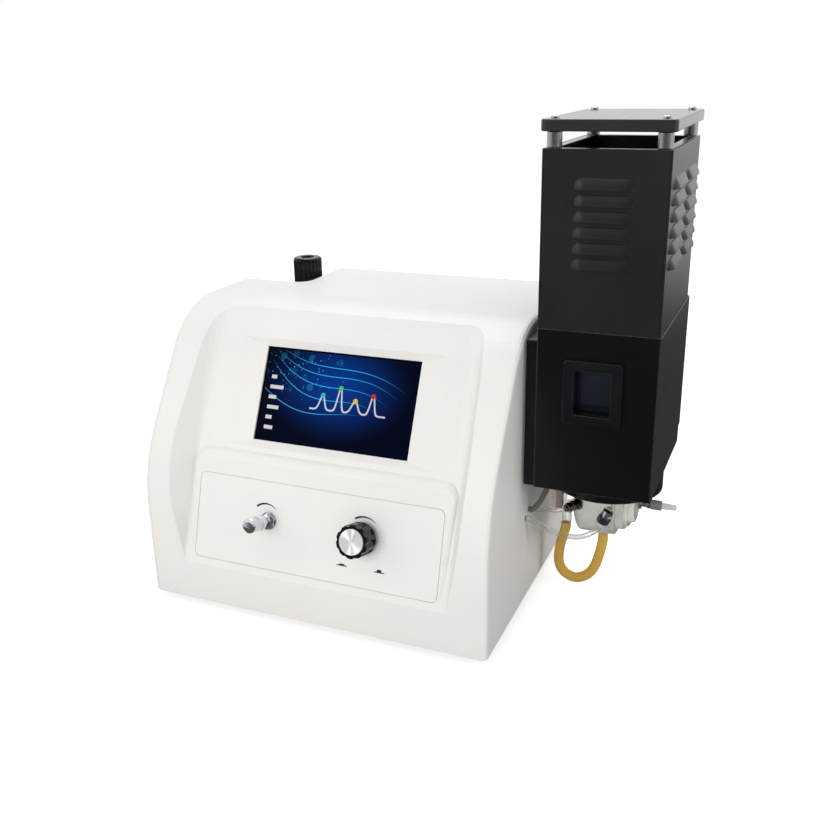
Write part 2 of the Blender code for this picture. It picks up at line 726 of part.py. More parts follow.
def make_rear_casing(mat):
    """The bent sheet that closes the sides and the rear, with its holes."""
    outer = casing_plan(0.0)
    inner = casing_plan(SHEET)
    top = CASE_H - SKIRT_H - FIT
    casing = finish("rear_casing", prism(outer + inner[::-1], 0.0, top), mat)
    bores = [(LIGHT_BORE_R, LIGHT_Y, LIGHT_Z)]
    bores += [(port[0] + FIT, port[1][1], port[1][2]) for port in tube_ports()]
    for radius, y, z in bores:
        bore = rod(radius, -SHEET * 2, SHEET * 2, steps=12)
        combine(casing, finish("bore", bore, place=along((1.0, 0.0, 0.0), (CASE_W, y, z))))
    rear = Vector((0.0, CASE_D - SHEET / 2, 0.0))
    cuts = [rectangle(INLET_W, INLET_H, 0.0, centre=(INLET_X, INLET_Z)),
            rectangle(SWITCH_W, SWITCH_H, 0.0, centre=(SWITCH_X, INLET_Z))]
    for row in range(VENT_ROWS):
        centre = (VENT_X, VENT_Z + row * VENT_PITCH)
        cuts.append(rectangle(VENT_L, VENT_W, centre=centre))
    for outline in cuts:
        cut = prism(outline, -SHEET, SHEET)
        place = Matrix.Translation(rear) @ Matrix.Rotation(math.pi / 2, 4, "X")
        combine(casing, finish("cut", cut, place=place))
    gas = rod(BARB_R + FIT, -SHEET, SHEET, steps=16)
    place = along((0.0, 1.0, 0.0), rear + Vector((BARB_X, 0.0, BARB_Z)))
    combine(casing, finish("bore", gas, place=place))
    air = rod(REG_PORT_R + FIT, -SHEET * 2, SHEET * 2, steps=16)
    place = along((1.0, 0.0, 0.0), (NOTCH_X + SHEET / 2, REG_Y, REG_PORT_Z))
    return combine(casing, finish("bore", air, place=place))


def make_base(mat, rubber):
    """The floor plate, which follows the notch, on four rubber feet."""
    side = WALL + FIT
    corners = [(side, side), (side, NOTCH_Y - side), (NOTCH_X + side, NOTCH_Y - side),
               (NOTCH_X + side, CASE_D - side), (CASE_W - side, CASE_D - side),
               (CASE_W - side, side)]
    radii = [LEFT_EDGE_R, 0.0, NOTCH_R + side, 0.0, 0.0, RIGHT_EDGE_R]
    finish("base_plate", prism(fillet(corners, radii, 5), 0.0, SHEET), mat)
    middle = NOTCH_X + FOOT_INSET
    spots = {"foot_front_left": (FOOT_INSET, FOOT_INSET),
             "foot_front_right": (CASE_W - FOOT_INSET, FOOT_INSET),
             "foot_rear_left": (middle, CASE_D - FOOT_INSET),
             "foot_rear_right": (CASE_W - FOOT_INSET, CASE_D - FOOT_INSET)}
    for name, (x, y) in spots.items():
        profile = [(0.0, -FOOT_H), (FOOT_R * 0.82, -FOOT_H), (FOOT_R, -FOOT_H * 0.8),
                   (FOOT_R, -FIT), (0.0, -FIT)]
        finish(name, turned(profile, 14), rubber, place=Matrix.Translation((x, y, 0.0)))


def make_screen(glass, mat):
    """The touch glass and its metal can, behind the window's lip."""
    top = -BEVEL_DEPTH - WINDOW_LIP - FIT
    module = finish("display_module", prism(rectangle(MODULE_W, MODULE_H), top - GLASS_T, top),
                    glass, place=screen_frame())
    can = rectangle(MODULE_W - MODULE_EDGE * 2, MODULE_H - MODULE_EDGE * 2)
    bulk = prism(can, top - MODULE_T, top - GLASS_T / 2)
    return combine(module, finish("can", bulk, mat, place=screen_frame()), "UNION")


def make_panel(mat):
    middle = panel_frame(FACE_X, PANEL_START + PANEL_L / 2, 0.0)
    plate = finish("control_panel", prism(rectangle(PANEL_W, PANEL_L, PANEL_R), -PANEL_T, 0.0),
                   mat, place=middle)
    for x in (FINE_X, GAS_X):
        hole = rod(BUSH_R + FIT, -CONSOLE_T, CONSOLE_T, steps=18)
        combine(plate, finish("hole", hole, place=panel_frame(x, KNOB_LINE)))
    return plate


def make_valve(name, x, nut_af, nut_t, stem_r, neck, mat):
    """A valve behind the panel: hexagon nut in front, bush through it, body behind."""
    place = panel_frame(x, KNOB_LINE)
    neck_r, neck_l = neck
    deep = -BUSH_L - VALVE_BODY_L
    profile = [(0.0, nut_t + neck_l), (neck_r, nut_t + neck_l), (neck_r, nut_t),
               (BUSH_R, nut_t / 2), (BUSH_R, -BUSH_L), (VALVE_BODY_R, -BUSH_L),
               (VALVE_BODY_R, deep), (0.0, deep)]
    valve = finish(name, turned(profile, 18), mat, place=place)
    nut = finish("nut", hexagon(nut_af, FIT, nut_t), mat, place=place)
    combine(valve, nut, "UNION")
    bore = rod(stem_r + FIT, deep + VALVE_BODY_L / 3, FINE_REACH, steps=12)
    return combine(valve, finish("bore", bore, place=place))


def make_fine_knob(mat):
    """Chrome knob of the needle valve, with a chamfered cap, on its stem."""
    start = FINE_NUT_T + FINE_NECK_L + FIT
    front = FINE_REACH
    back = front - FINE_KNOB_L
    waist = FINE_KNOB_R * 0.72
    deep = -BUSH_L
    profile = [(0.0, front), (FINE_KNOB_R - FINE_CHAMFER, front),
               (FINE_KNOB_R, front - FINE_CHAMFER), (FINE_KNOB_R, back + FINE_CHAMFER / 2),
               (FINE_KNOB_R - FINE_CHAMFER / 2, back), (waist, back), (waist, start),
               (FINE_STEM_R, start), (FINE_STEM_R, deep), (0.0, deep)]
    return finish("fine_adjust_knob", turned(profile, 20), mat,
                  place=panel_frame(FINE_X, KNOB_LINE))


def make_gas_knob(black, metal, steel):
    """Fluted gas knob, its spun metal cap, and the rod that it pushes in."""
    place = panel_frame(GAS_X, KNOB_LINE)
    back = GAS_SKIRT_GAP
    front = back + GAS_KNOB_L
    rim = GAS_KNOB_R - GAS_RIM_R
    seat = front - GAS_CAP_T
    bore = front - GAS_CAP_T * 2.5
    hollow = GAS_NUT_AF / 2 / math.cos(math.radians(30.0)) + GAS_NUT_GAP
    ceiling = back + GAS_TRAVEL + GAS_NUT_GAP
    grip = GAS_SHAFT_R + FIT
    profile = [(0.0, back), (GAS_KNOB_R - rim, back), (GAS_KNOB_R, back + rim),
               (GAS_KNOB_R, front - rim), (GAS_RIM_R, front), (GAS_CAP_R + FIT, front),
               (GAS_CAP_R + FIT, seat), (0.0, seat)]
    knob = finish("gas_valve_knob", turned(profile, 30), black, place=place)
    for radius, depth, steps in ((hollow, ceiling, 14), (grip, bore, 10)):
        drill = rod(radius, -OVERRUN, depth, steps)
        combine(knob, finish("drill", drill, place=place))
    lane = GAS_KNOB_R + GAS_FLUTE_R - GAS_FLUTE_DEPTH
    for lobe in range(GAS_LOBES):
        turn = math.tau * lobe / GAS_LOBES
        spot = Matrix.Translation((lane * math.cos(turn), lane * math.sin(turn), 0.0))
        flute = rod(GAS_FLUTE_R, back + rim * 1.5, front + OVERRUN, steps=10)
        combine(knob, finish("flute", flute, place=place @ spot))
    cap = [(0.0, front - GAS_CAP_T + FIT), (GAS_CAP_R, front - GAS_CAP_T + FIT),
           (GAS_CAP_R, front), (GAS_CAP_R - GAS_CAP_T / 2, front + GAS_CAP_T / 2),
           (0.0, front + GAS_CAP_T / 2)]
    finish("gas_knob_cap", turned(cap, 30), metal, place=place)
    shaft = rod(GAS_SHAFT_R, -BUSH_L, bore - FIT, steps=12)
    finish("gas_push_rod", shaft, steel, place=place)


def make_duct(mat):
    """The flat black duct through which the flame's light reaches the optics."""
    duct = finish("light_duct", block((DUCT_X, DUCT_X + DUCT_W), (DUCT_Y, DUCT_Y + DUCT_D),
                                      (DUCT_Z, DUCT_Z + DUCT_H)), mat)
    bevelled(duct, DUCT_EDGE)
    bore = rod(LIGHT_BORE_R, -DUCT_W, DUCT_W * 2, steps=16)
    place = along((1.0, 0.0, 0.0), (DUCT_X, LIGHT_Y, LIGHT_Z))
    return combine(duct, finish("bore", bore, place=place))


def folded_wall(x, y, width, depth, sheet, radius):
    """Plan of a sheet folded round a front and two sides, open at the rear."""
    outer = [(x, y + depth), (x, y), (x + width, y), (x + width, y + depth)]
    inner = [(x + sheet, y + depth), (x + sheet, y + sheet), (x + width - sheet, y + sheet),
             (x + width - sheet, y + depth)]
    return (fillet(outer, [0.0, radius, radius, 0.0], 3, closed=False)
            + inner[::-1])


def make_burner_box(mat):
    """Lower black box: folded wrapper, floor and rear tray."""
    depth = BOX_D - FIT
    plan = folded_wall(BOX_X, BOX_Y, BOX_W, depth, BOX_T, BOX_EDGE_R)
    wrapper = finish("burner_box_wrapper", prism(plan, BOX_Z, BOX_TOP), mat)
    hole = prism(rectangle(WINDOW_HOLE_W + BEZEL_FLANGE_T * 2, WINDOW_HOLE_H + BEZEL_FLANGE_T * 2),
                 -BOX_T, BOX_T * 2)
    place = along((0.0, 1.0, 0.0), (BOX_MID_X + WINDOW_X_OFF, BOX_Y, WINDOW_Z))
    combine(wrapper, finish("hole", hole, place=place))
    bore = rod(LIGHT_BORE_R, -BOX_T, BOX_T * 2, steps=16)
    combine(wrapper, finish("bore", bore, place=along((1.0, 0.0, 0.0), (BOX_X, LIGHT_Y, LIGHT_Z))))
    side = BOX_T + FIT
    floor = block((BOX_X + side, BOX_X + BOX_W - side), (BOX_Y + side, BOX_Y + BOX_D - side),
                  (BOX_Z, BOX_Z + BOX_T))
    plate = finish("burner_box_floor", floor, mat)
    riser = rod(RISER_R + FIT, BOX_Z - BOX_T, BOX_Z + BOX_T * 2, steps=16)
    combine(plate, finish("riser_hole", riser, place=Matrix.Translation((BURNER_X, CHAMBER_Y, 0))))
    rear = BOX_Y + BOX_D
    tray = finish("burner_box_rear_cover",
                  block((BOX_X, BOX_X + BOX_W), (rear, rear + BOX_TAIL_D),
                        (BOX_Z + BOX_TAIL_LIFT, BOX_TOP)), mat)
    bevelled(tray, BOX_EDGE_R)
    hollow = block((BOX_X + BOX_T * 2, BOX_X + BOX_W - BOX_T * 2),
                   (rear - OVERRUN, rear + BOX_TAIL_D - BOX_T),
                   (BOX_Z + BOX_TAIL_LIFT + BOX_T * 2, BOX_TOP - BOX_T * 2))
    combine(tray, finish("hollow", hollow))


def make_window(mat, glass):
    """Window bezel on the box's front and the dark sight glass behind it."""
    centre = (BOX_MID_X + WINDOW_X_OFF, BOX_Y - FIT, WINDOW_Z)
    place = along((0.0, -1.0, 0.0), centre)
    turn = place @ Matrix.Rotation(math.pi / 2, 4, "Z")
    bezel = finish("window_bezel", prism(rectangle(BEZEL_H, BEZEL_W, BEZEL_R), 0.0, BEZEL_T),
                   mat, place=turn)
    bevelled(bezel, BEZEL_T / 4)
    rings = []
    for height, wide in ((BEZEL_T * 1.5, 1.5), (-BEZEL_T / 2, -0.5)):
        grow = BEZEL_T * wide / 1.5
        opening = rectangle(WINDOW_HOLE_H + grow, WINDOW_HOLE_W + grow)
        rings.append([(p.x, p.y, height) for p in opening])
    combine(bezel, finish("opening", skin(rings), place=turn))
    back = -BOX_T - FIT * 2
    pane = rectangle(WINDOW_HOLE_H + SIGHT_GLASS_LAP * 2, WINDOW_HOLE_W + SIGHT_GLASS_LAP * 2)
    finish("sight_glass", prism(pane, back - SIGHT_GLASS_T, back), glass, place=turn)


def hood(length, height, out, sheet):
    """One pressed louvre: a rounded hood, open below, in a frame with Y up and Z out."""
    bm = bmesh.new()
    across = 5
    rise = 2
    shell = []
    for thick in (0.0, sheet):
        rows = []
        for j in range(rise + 1):
            lift = math.sin(math.pi / 2 * j / rise)
            drop = (height - thick) * (1 - math.cos(math.pi / 2 * j / rise)) + thick
            row = []
            for i in range(across + 1):
                turn = -math.pi / 2 + math.pi * i / across
                x = (length / 2 - thick) * math.copysign(abs(math.sin(turn)) ** 0.6, turn)
                full = max(math.cos(turn), 0.0) ** 0.6
                row.append(bm.verts.new((x, -drop, (out - thick) * lift * full - sheet / 2)))
            rows.append(row)
        shell.append(rows)
    outer, inner = shell
    for rows in shell:
        for low, high in zip(rows, rows[1:]):
            for i in range(across):
                bm.faces.new((low[i], low[i + 1], high[i + 1], high[i]))
    rim_out = outer[0] + [row[-1] for row in outer[1:]] + outer[-1][-2::-1]
    rim_out += [row[0] for row in outer[-2:0:-1]]
    rim_in = inner[0] + [row[-1] for row in inner[1:]] + inner[-1][-2::-1]
    rim_in += [row[0] for row in inner[-2:0:-1]]
    count = len(rim_out)
    for i in range(count):
        nxt = (i + 1) % count
        bm.faces.new((rim_out[i], rim_out[nxt], rim_in[nxt], rim_in[i]))
    return bm


def louvred(panel, length, spots, facing):
    """Press a row of louvres into a panel: slots first, then their hoods."""
    for spot in spots:
        place = along_up(facing, spot)
        slot = rectangle(length - LOUVRE_H, LOUVRE_H / 2, centre=(0.0, -LOUVRE_H * 0.62))
        combine(panel, finish("slot", prism(slot, -FLUE_T * 2, FLUE_T), place=place))
        scoop = finish("hood", hood(length, LOUVRE_H, LOUVRE_OUT, LOUVRE_T), place=place)
        combine(panel, scoop, "UNION")
    return panel


def along_up(out, place):
    """A frame at a place with Z pointing out of a wall and Y straight up."""
    out = Vector(out)
    up = Vector((0.0, 0.0, 1.0))
    across = up.cross(out)
    turn = Matrix((across, up, out)).transposed().to_4x4()
    return Matrix.Translation(Vector(place)) @ turn


def make_chimney(mat):
    """Four louvred walls and the rim round the open top."""
    left, right = FLUE_X, FLUE_X + FLUE_W
    front, back = BOX_Y, BOX_Y + FLUE_D
    rows = [LOUVRE_TOP_Z - row * LOUVRE_PITCH for row in range(LOUVRE_ROWS)]
    inner = FLUE_T + FIT
    high = (FLUE_Z, FLUE_TOP)
    wall = finish("chimney_front", block((left + inner, right - inner), (front, front + FLUE_T),
                                         high), mat)
    middle = FLUE_MID_X
    louvred(wall, LOUVRE_L, [(middle, front, z) for z in rows], (0.0, -1.0, 0.0))
    half = SIDE_LOUVRE_PITCH / 2
    mid_y = (front + back) / 2
    for name, x, facing in (("chimney_left", left, -1.0), ("chimney_right", right, 1.0)):
        near = x - facing * FLUE_T
        wall = finish(name, block((min(x, near), max(x, near)), (front, back), high), mat)
        spots = [(x, mid_y + side, z) for side in (-half, half) for z in rows]
        louvred(wall, SIDE_LOUVRE_L, spots, (facing, 0.0, 0.0))
    finish("chimney_rear", block((left + inner, right - inner), (back - FLUE_T, back), high), mat)
    outer = rectangle(FLUE_W - inner * 2, FLUE_D - inner * 2, centre=(middle, mid_y))
    hole = rectangle(FLUE_W - FRAME_W * 2, FLUE_D - FRAME_W * 2, centre=(middle, mid_y))
    rim = finish("chimney_rim", prism(outer, FLUE_TOP - FRAME_T, FLUE_TOP), mat)
    combine(rim, finish("hole", prism(hole, FLUE_TOP - OVERRUN, FLUE_TOP + OVERRUN)))


def post_spots():
    left = FLUE_X + POST_INSET_X
    right = FLUE_X + FLUE_W - POST_INSET_X
    front = BOX_Y + POST_INSET_Y
    back = BOX_Y + FLUE_D - POST_INSET_Y
    return {"front_left": (left, front), "front_right": (right, front),
            "rear_left": (left, back), "rear_right": (right, back)}


def make_top(mat, steel):
    """Heat shield plate on four posts, whose screws come through it."""
    middle = (FLUE_MID_X, BOX_Y + FLUE_D / 2)
    outline = rectangle(PLATE_W, PLATE_D, PLATE_R, steps=3, centre=middle)
    plate = finish("heat_shield_plate", prism(outline, PLATE_Z, PLATE_Z + PLATE_T), mat)
    bevelled(plate, PLATE_EDGE)
    for where, (x, y) in post_spots().items():
        hole = rod(SCREW_R + FIT, PLATE_Z - OVERRUN, PLATE_Z + PLATE_T + OVERRUN, steps=8)
        combine(plate, finish("hole", hole, place=Matrix.Translation((x, y, 0.0))))
        low = FLUE_TOP + FIT
        top = PLATE_Z - FIT
        head = PLATE_Z + PLATE_T + FIT
        profile = [(0.0, low), (POST_R, low), (POST_R, top), (SCREW_R, top), (SCREW_R, head),
                   (SCREW_HEAD_R, head), (SCREW_HEAD_R * 0.85, head + SCREW_HEAD_H * 0.7),
                   (SCREW_HEAD_R * 0.4, head + SCREW_HEAD_H), (0.0, head + SCREW_HEAD_H)]
        place = Matrix.Translation((x, y, 0.0))
        finish("post_" + where, turned(profile, 12), steel, place=place)


def make_burner(black, frosted, metal):
    """Skirt, spray chamber, end cap, riser and burner head."""
    under = BOX_Z - FIT
    ring = [(SKIRT_R - SKIRT_WALL, under - BURNER_SKIRT_H), (SKIRT_R, under - BURNER_SKIRT_H),
            (SKIRT_R, under), (SKIRT_R - SKIRT_WALL, under)]
    finish("burner_skirt", turned(ring, 32, closed=True), black,
           place=Matrix.Translation((BOX_MID_X, CHAMBER_Y, 0.0)))
    end = CHAMBER_L
    wide = CHAMBER_L - CHAMBER_COLLAR_L
    profile = [(0.0, 0.0), (CHAMBER_R * 0.55, 0.0), (CHAMBER_R * 0.85, CHAMBER_R * 0.12),
               (CHAMBER_R, CHAMBER_R * 0.3), (CHAMBER_R, wide), (CHAMBER_COLLAR_R, wide),
               (CHAMBER_COLLAR_R, end), (CAP_R, end), (CAP_R, wide),
               (CHAMBER_R - CHAMBER_WALL, wide - CHAMBER_WALL),
               (CHAMBER_R - CHAMBER_WALL, CHAMBER_R * 0.3), (0.0, CHAMBER_WALL)]
    axis = along((1.0, 0.0, 0.0), (CHAMBER_X, CHAMBER_Y, CHAMBER_Z))
    chamber = finish("spray_chamber", turned(profile, 24, closed=True), frosted, place=axis)
    low = CHAMBER_Z - CHAMBER_R - SPIGOT_L
    drain = Matrix.Translation((DRAIN_X, CHAMBER_Y, 0.0))
    spigot = rod(SPIGOT_R, low, CHAMBER_Z - CHAMBER_R + CHAMBER_WALL, 16)
    combine(chamber, finish("spigot", spigot, place=drain), "UNION")
    socket = rod(RISER_R + FIT, CHAMBER_Z, CHAMBER_Z + CHAMBER_R * 2, steps=16)
    riser_at = Matrix.Translation((BURNER_X, CHAMBER_Y, 0.0))
    combine(chamber, finish("socket", socket, place=riser_at))
    cap = [(0.0, 0.0), (CAP_LIP_R, 0.0), (CAP_LIP_R, CAP_L * 0.4), (CAP_R, CAP_L * 0.4),
           (CAP_R * 0.92, CAP_L), (0.0, CAP_L)]
    finish("chamber_end_cap", turned(cap, 28), frosted,
           place=along((1.0, 0.0, 0.0), (CAP_X, CHAMBER_Y, CHAMBER_Z)))
    foot = CHAMBER_Z + CHAMBER_R - CHAMBER_WALL
    riser = [(RISER_BORE_R, foot), (RISER_R, foot), (RISER_R, BURNER_HEAD_Z), (RISER_BORE_R, BURNER_HEAD_Z)]
    finish("burner_riser", turned(riser, 16, closed=True), metal, place=riser_at)
    base = BURNER_HEAD_Z + FIT
    head = [(0.0, base), (BURNER_HEAD_R * 0.7, base), (BURNER_HEAD_R, base + BURNER_HEAD_H * 0.3),
            (BURNER_HEAD_R, base + BURNER_HEAD_H), (0.0, base + BURNER_HEAD_H)]
    burner = finish("burner_head", turned(head, 24), metal, place=riser_at)
    for port in range(BURNER_PORTS):
        turn = math.tau * port / BURNER_PORTS
        spot = Matrix.Translation((BURNER_HEAD_R / 2 * math.cos(turn),
                                   BURNER_HEAD_R / 2 * math.sin(turn), 0.0))
        drill = rod(BURNER_PORT_R, base + BURNER_HEAD_H / 2, base + BURNER_HEAD_H * 2, 6)
        combine(burner, finish("port", drill, place=riser_at @ spot))


def make_nebulizer(steel, grey, pale):
    """Nebulizer body, its grey sleeve and the pale sample tip."""
    body = [(0.0, 0.0), (NEB_R * 1.35, 0.0), (NEB_R * 1.35, NEB_L * 0.3), (NEB_R * 0.8, NEB_L * 0.4),
            (NEB_R * 0.8, NEB_L * 0.7), (NEB_R, NEB_L * 0.75), (NEB_R, NEB_L), (0.0, NEB_L)]
    sleeve = [(0.0, 0.0), (SLEEVE_R, 0.0), (SLEEVE_R, SLEEVE_L), (0.0, SLEEVE_L)]
    tip = [(CAPILLARY_R, 0.0), (TIP_R, 0.0), (TIP_R * 0.85, TIP_L), (CAPILLARY_R, TIP_L)]
    for name, profile, x, mat, ring in (("nebulizer_body", body, NEB_X, steel, False),
                                        ("nebulizer_sleeve", sleeve, SLEEVE_X, grey, False),
                                        ("sample_tip", tip, TIP_X, pale, True)):
        place = along((1.0, 0.0, 0.0), (x, CHAMBER_Y, CHAMBER_Z))
        finish(name, turned(profile, 18, closed=ring), mat, place=place)


def between(start, stop, shares):
    """Points from start to stop: each share triple is measured along x, y and z."""
    span = Vector(stop) - Vector(start)
    return [Vector(start) + Vector([a * b for a, b in zip(span, share)]) for share in shares]


def air_route():
    """Clear air line from its union to the casing's side."""
    start = (AIR_UNION_X, AIR_LINE_Y, CHAMBER_Z)
    stop = (CASE_W - SHEET, AIR_LINE_Y, AIR_PORT_Z)
    return between(start, stop, AIR_SHARES)


def gas_route():
    """Clear gas line, sweeping down and left from its union to the casing's side."""
    start = Vector((GAS_UNION_X, GAS_UNION_Y, GAS_UNION_Z))
    lead = Vector(GAS_UNION_AXIS).normalized() * GAS_TUBE_R
    stop = (CASE_W - SHEET, GAS_PORT_Y, GAS_PORT_Z)
    return [start, start + lead, *between(start + lead * 2, stop, GAS_SHARES)]


def lead_route():
    """Grey sleeve of the igniter lead, from the casing's side up into the burner box."""
    start = (CASE_W - SHEET, LEAD_PORT_Y, LEAD_PORT_Z)
    stop = (LEAD_TOP_X, LEAD_TOP_Y, BOX_Z - FIT)
    return between(start, stop, LEAD_SHARES)


def drain_route():
    """Yellow drain loop from the elbow at the left down and up to the chamber's spigot."""
    low = CHAMBER_Z - CHAMBER_R - SPIGOT_L - FIT
    loop = between((ELBOW_X, CHAMBER_Y, LOOP_Z), (DRAIN_X, CHAMBER_Y, ELBOW_Z), LOOP_SHARES)
    return [*loop, (DRAIN_X, CHAMBER_Y, low - DRAIN_TUBE_R), (DRAIN_X, CHAMBER_Y, low)]


def tube_ports():
    """Radius and last point of each line that enters the casing's side."""
    return [(AIR_TUBE_R, air_route()[-1]), (GAS_TUBE_R, gas_route()[-1]),
            (LEAD_R, lead_route()[0])]


def make_lines(clear, yellow, grey):
    """Tubes and the drain elbow."""
    tube("air_tube", air_route(), AIR_TUBE_R, clear, rings=2)
    tube("gas_tube", gas_route(), GAS_TUBE_R, clear, rings=2)
    tube("igniter_lead_sleeve", lead_route(), LEAD_R, grey, rings=2)
    tube("drain_tube", drain_route(), DRAIN_TUBE_R, yellow, rings=2)
    start = Vector(drain_route()[0]) + Vector((0.0, 0.0, FIT))
    mouth = Vector((CHAMBER_X - FIT, CHAMBER_Y, CHAMBER_Z - CHAMBER_R * 0.35))
    centre = Vector((start.x + ELBOW_BEND, CHAMBER_Y, mouth.z - ELBOW_BEND))
    turns = [math.pi / 2 * step / ELBOW_STEPS for step in range(ELBOW_STEPS + 1)]
    bend = [centre + Vector((-math.cos(a), 0.0, math.sin(a))) * ELBOW_BEND for a in turns]
    tube("drain_elbow", [start, *bend, mouth], ELBOW_R * 0.9, clear, rings=1)


def ribbed_union(radius, length):
    """Turned profile of a union nut with two knurled rings."""
    return [(0.0, 0.0), (radius * 0.6, 0.0), (radius * 0.7, length * 0.2),
            (radius, length * 0.25), (radius, length * 0.5), (radius * 0.85, length * 0.55),
            (radius * 0.85, length * 0.65), (radius, length * 0.7), (radius, length),
            (0.0, length)]


def make_unions(dark, chrome):
    """Unions of the air and gas lines, each on a stub from the chamber's front."""
    front = CHAMBER_Y - CHAMBER_R - FIT
    for name, line, axis, radius, length, mat in (
            ("air_union", air_route(), (-1.0, 0.0, 0.0), UNION_R, UNION_L, dark),
            ("gas_union", gas_route(), GAS_UNION_AXIS, GAS_UNION_R, GAS_UNION_L, chrome)):
        back = -Vector(axis).normalized()
        head = Vector(line[0]) + back * FIT
        nut = finish(name, turned(ribbed_union(radius, length), 14), mat, place=along(back, head))
        knee = head + back * length * 0.8
        rise = abs(knee.z - CHAMBER_Z)
        skin_y = CHAMBER_Y - math.sqrt(CHAMBER_R ** 2 - (rise + radius / 2) ** 2) - FIT
        stub = rod(radius * 0.5, 0.0, skin_y - knee.y - FIT, 10)
        combine(nut, finish("stub", stub, place=along((0.0, 1.0, 0.0), knee)), "UNION")


def make_pillar(brass):
    """Hexagon pillar under the burner box's floor."""
    finish("floor_pillar", hexagon(PILLAR_AF, PILLAR_Z, BOX_Z - FIT), brass,
           place=Matrix.Translation((PILLAR_X, PILLAR_Y, 0.0)))


def make_regulator(black, clear, steel):
    """Air filter and regulator that stands in the casing's notch."""
    place = Matrix.Translation((REG_X, REG_Y, 0.0))
    knob_low = REG_KNOB_TOP - REG_KNOB_H
    rim = REG_KNOB_R * 0.1
    profile = [(0.0, knob_low), (REG_KNOB_R, knob_low), (REG_KNOB_R, REG_KNOB_TOP - rim),
               (REG_KNOB_R - rim, REG_KNOB_TOP), (REG_KNOB_R * 0.5, REG_KNOB_TOP),
               (REG_KNOB_R * 0.45, REG_KNOB_TOP - rim), (0.0, REG_KNOB_TOP - rim)]
    knob = finish("regulator_knob", ribbed_knob(profile), black, place=place)
    bonnet_top = knob_low - FIT
    body_top = bonnet_top - REG_BONNET_H
    body_low = body_top - REG_BODY_H
    half = REG_BODY_W / 2
    body = finish("regulator_body", prism(rectangle(REG_BODY_W, REG_BODY_W, half / 3),
                                          body_low, body_top), black, place=place)
    bonnet = rod(REG_BONNET_R, body_top - OVERRUN, bonnet_top, steps=18)
    combine(body, finish("bonnet", bonnet, place=place), "UNION")
    reach = NOTCH_X + SHEET - REG_X + OVERRUN
    port = rod(REG_PORT_R, 0.0, reach, steps=14)
    spot = (REG_X, REG_Y, REG_PORT_Z)
    combine(body, finish("port", port, place=along((1.0, 0.0, 0.0), spot)), "UNION")
    inlet = rod(REG_PORT_R, 0.0, half + BARB_L, steps=12)
    leftward = along((-1.0, 0.0, 0.0), spot)
    combine(body, finish("inlet", inlet, place=leftward), "UNION")
    bore = rod(REG_PORT_R / 2, half, half + BARB_L * 2, 8)
    combine(body, finish("bore", bore, place=leftward))
    bowl_top = body_low - FIT
    bowl_low = bowl_top - REG_BOWL_H
    bowl = [(0.0, bowl_low), (REG_BOWL_R * 0.5, bowl_low),
            (REG_BOWL_R * 0.9, bowl_low + REG_BOWL_R * 0.2),
            (REG_BOWL_R, bowl_low + REG_BOWL_R * 0.5), (REG_BOWL_R, bowl_top), (0.0, bowl_top)]
    finish("regulator_bowl", turned(bowl, 18), clear, place=place)
    wall = (NOTCH_X - REG_BRACKET_T - FIT, NOTCH_X - FIT)
    gap = REG_PORT_R + FIT
    plate = finish("regulator_bracket", block(wall, (REG_Y - half, REG_Y + half),
                                              (body_low, body_top)), steel)
    hole = rod(gap, -REG_BRACKET_T, REG_BRACKET_T * 2, steps=14)
    combine(plate, finish("hole", hole, place=along((1.0, 0.0, 0.0), (wall[0], REG_Y, REG_PORT_Z))))


def ribbed_knob(profile):
    """A turned knob whose side carries fine ribs."""
    bm = turned(profile, REG_KNOB_RIBS * 2)
    for vert in bm.verts:
        radius = vert.co.xy.length
        if radius > REG_KNOB_R * 0.95:
            index = round(math.atan2(vert.co.y, vert.co.x) / math.tau * REG_KNOB_RIBS * 2)
            if index % 2:
                vert.co.xy *= (REG_KNOB_R - REG_KNOB_RIB) / REG_KNOB_R
    return bm


def bezel_box(name, middle, opening, rim, thick, depth, mat):
    """A snap-in fitting: a rim outside the rear wall and a body through its cut-out."""
    out = CASE_D + FIT
    wide, tall = opening[0] / 2, opening[1] / 2
    made = finish(name, block((middle - wide - rim, middle + wide + rim), (out, out + thick),
                              (INLET_Z - tall - rim, INLET_Z + tall + rim)), mat)
    bulk = block((middle - wide + FIT, middle + wide - FIT), (out - depth, out + thick / 2),
                 (INLET_Z - tall + FIT, INLET_Z + tall - FIT))
    return combine(made, finish("bulk", bulk), "UNION")


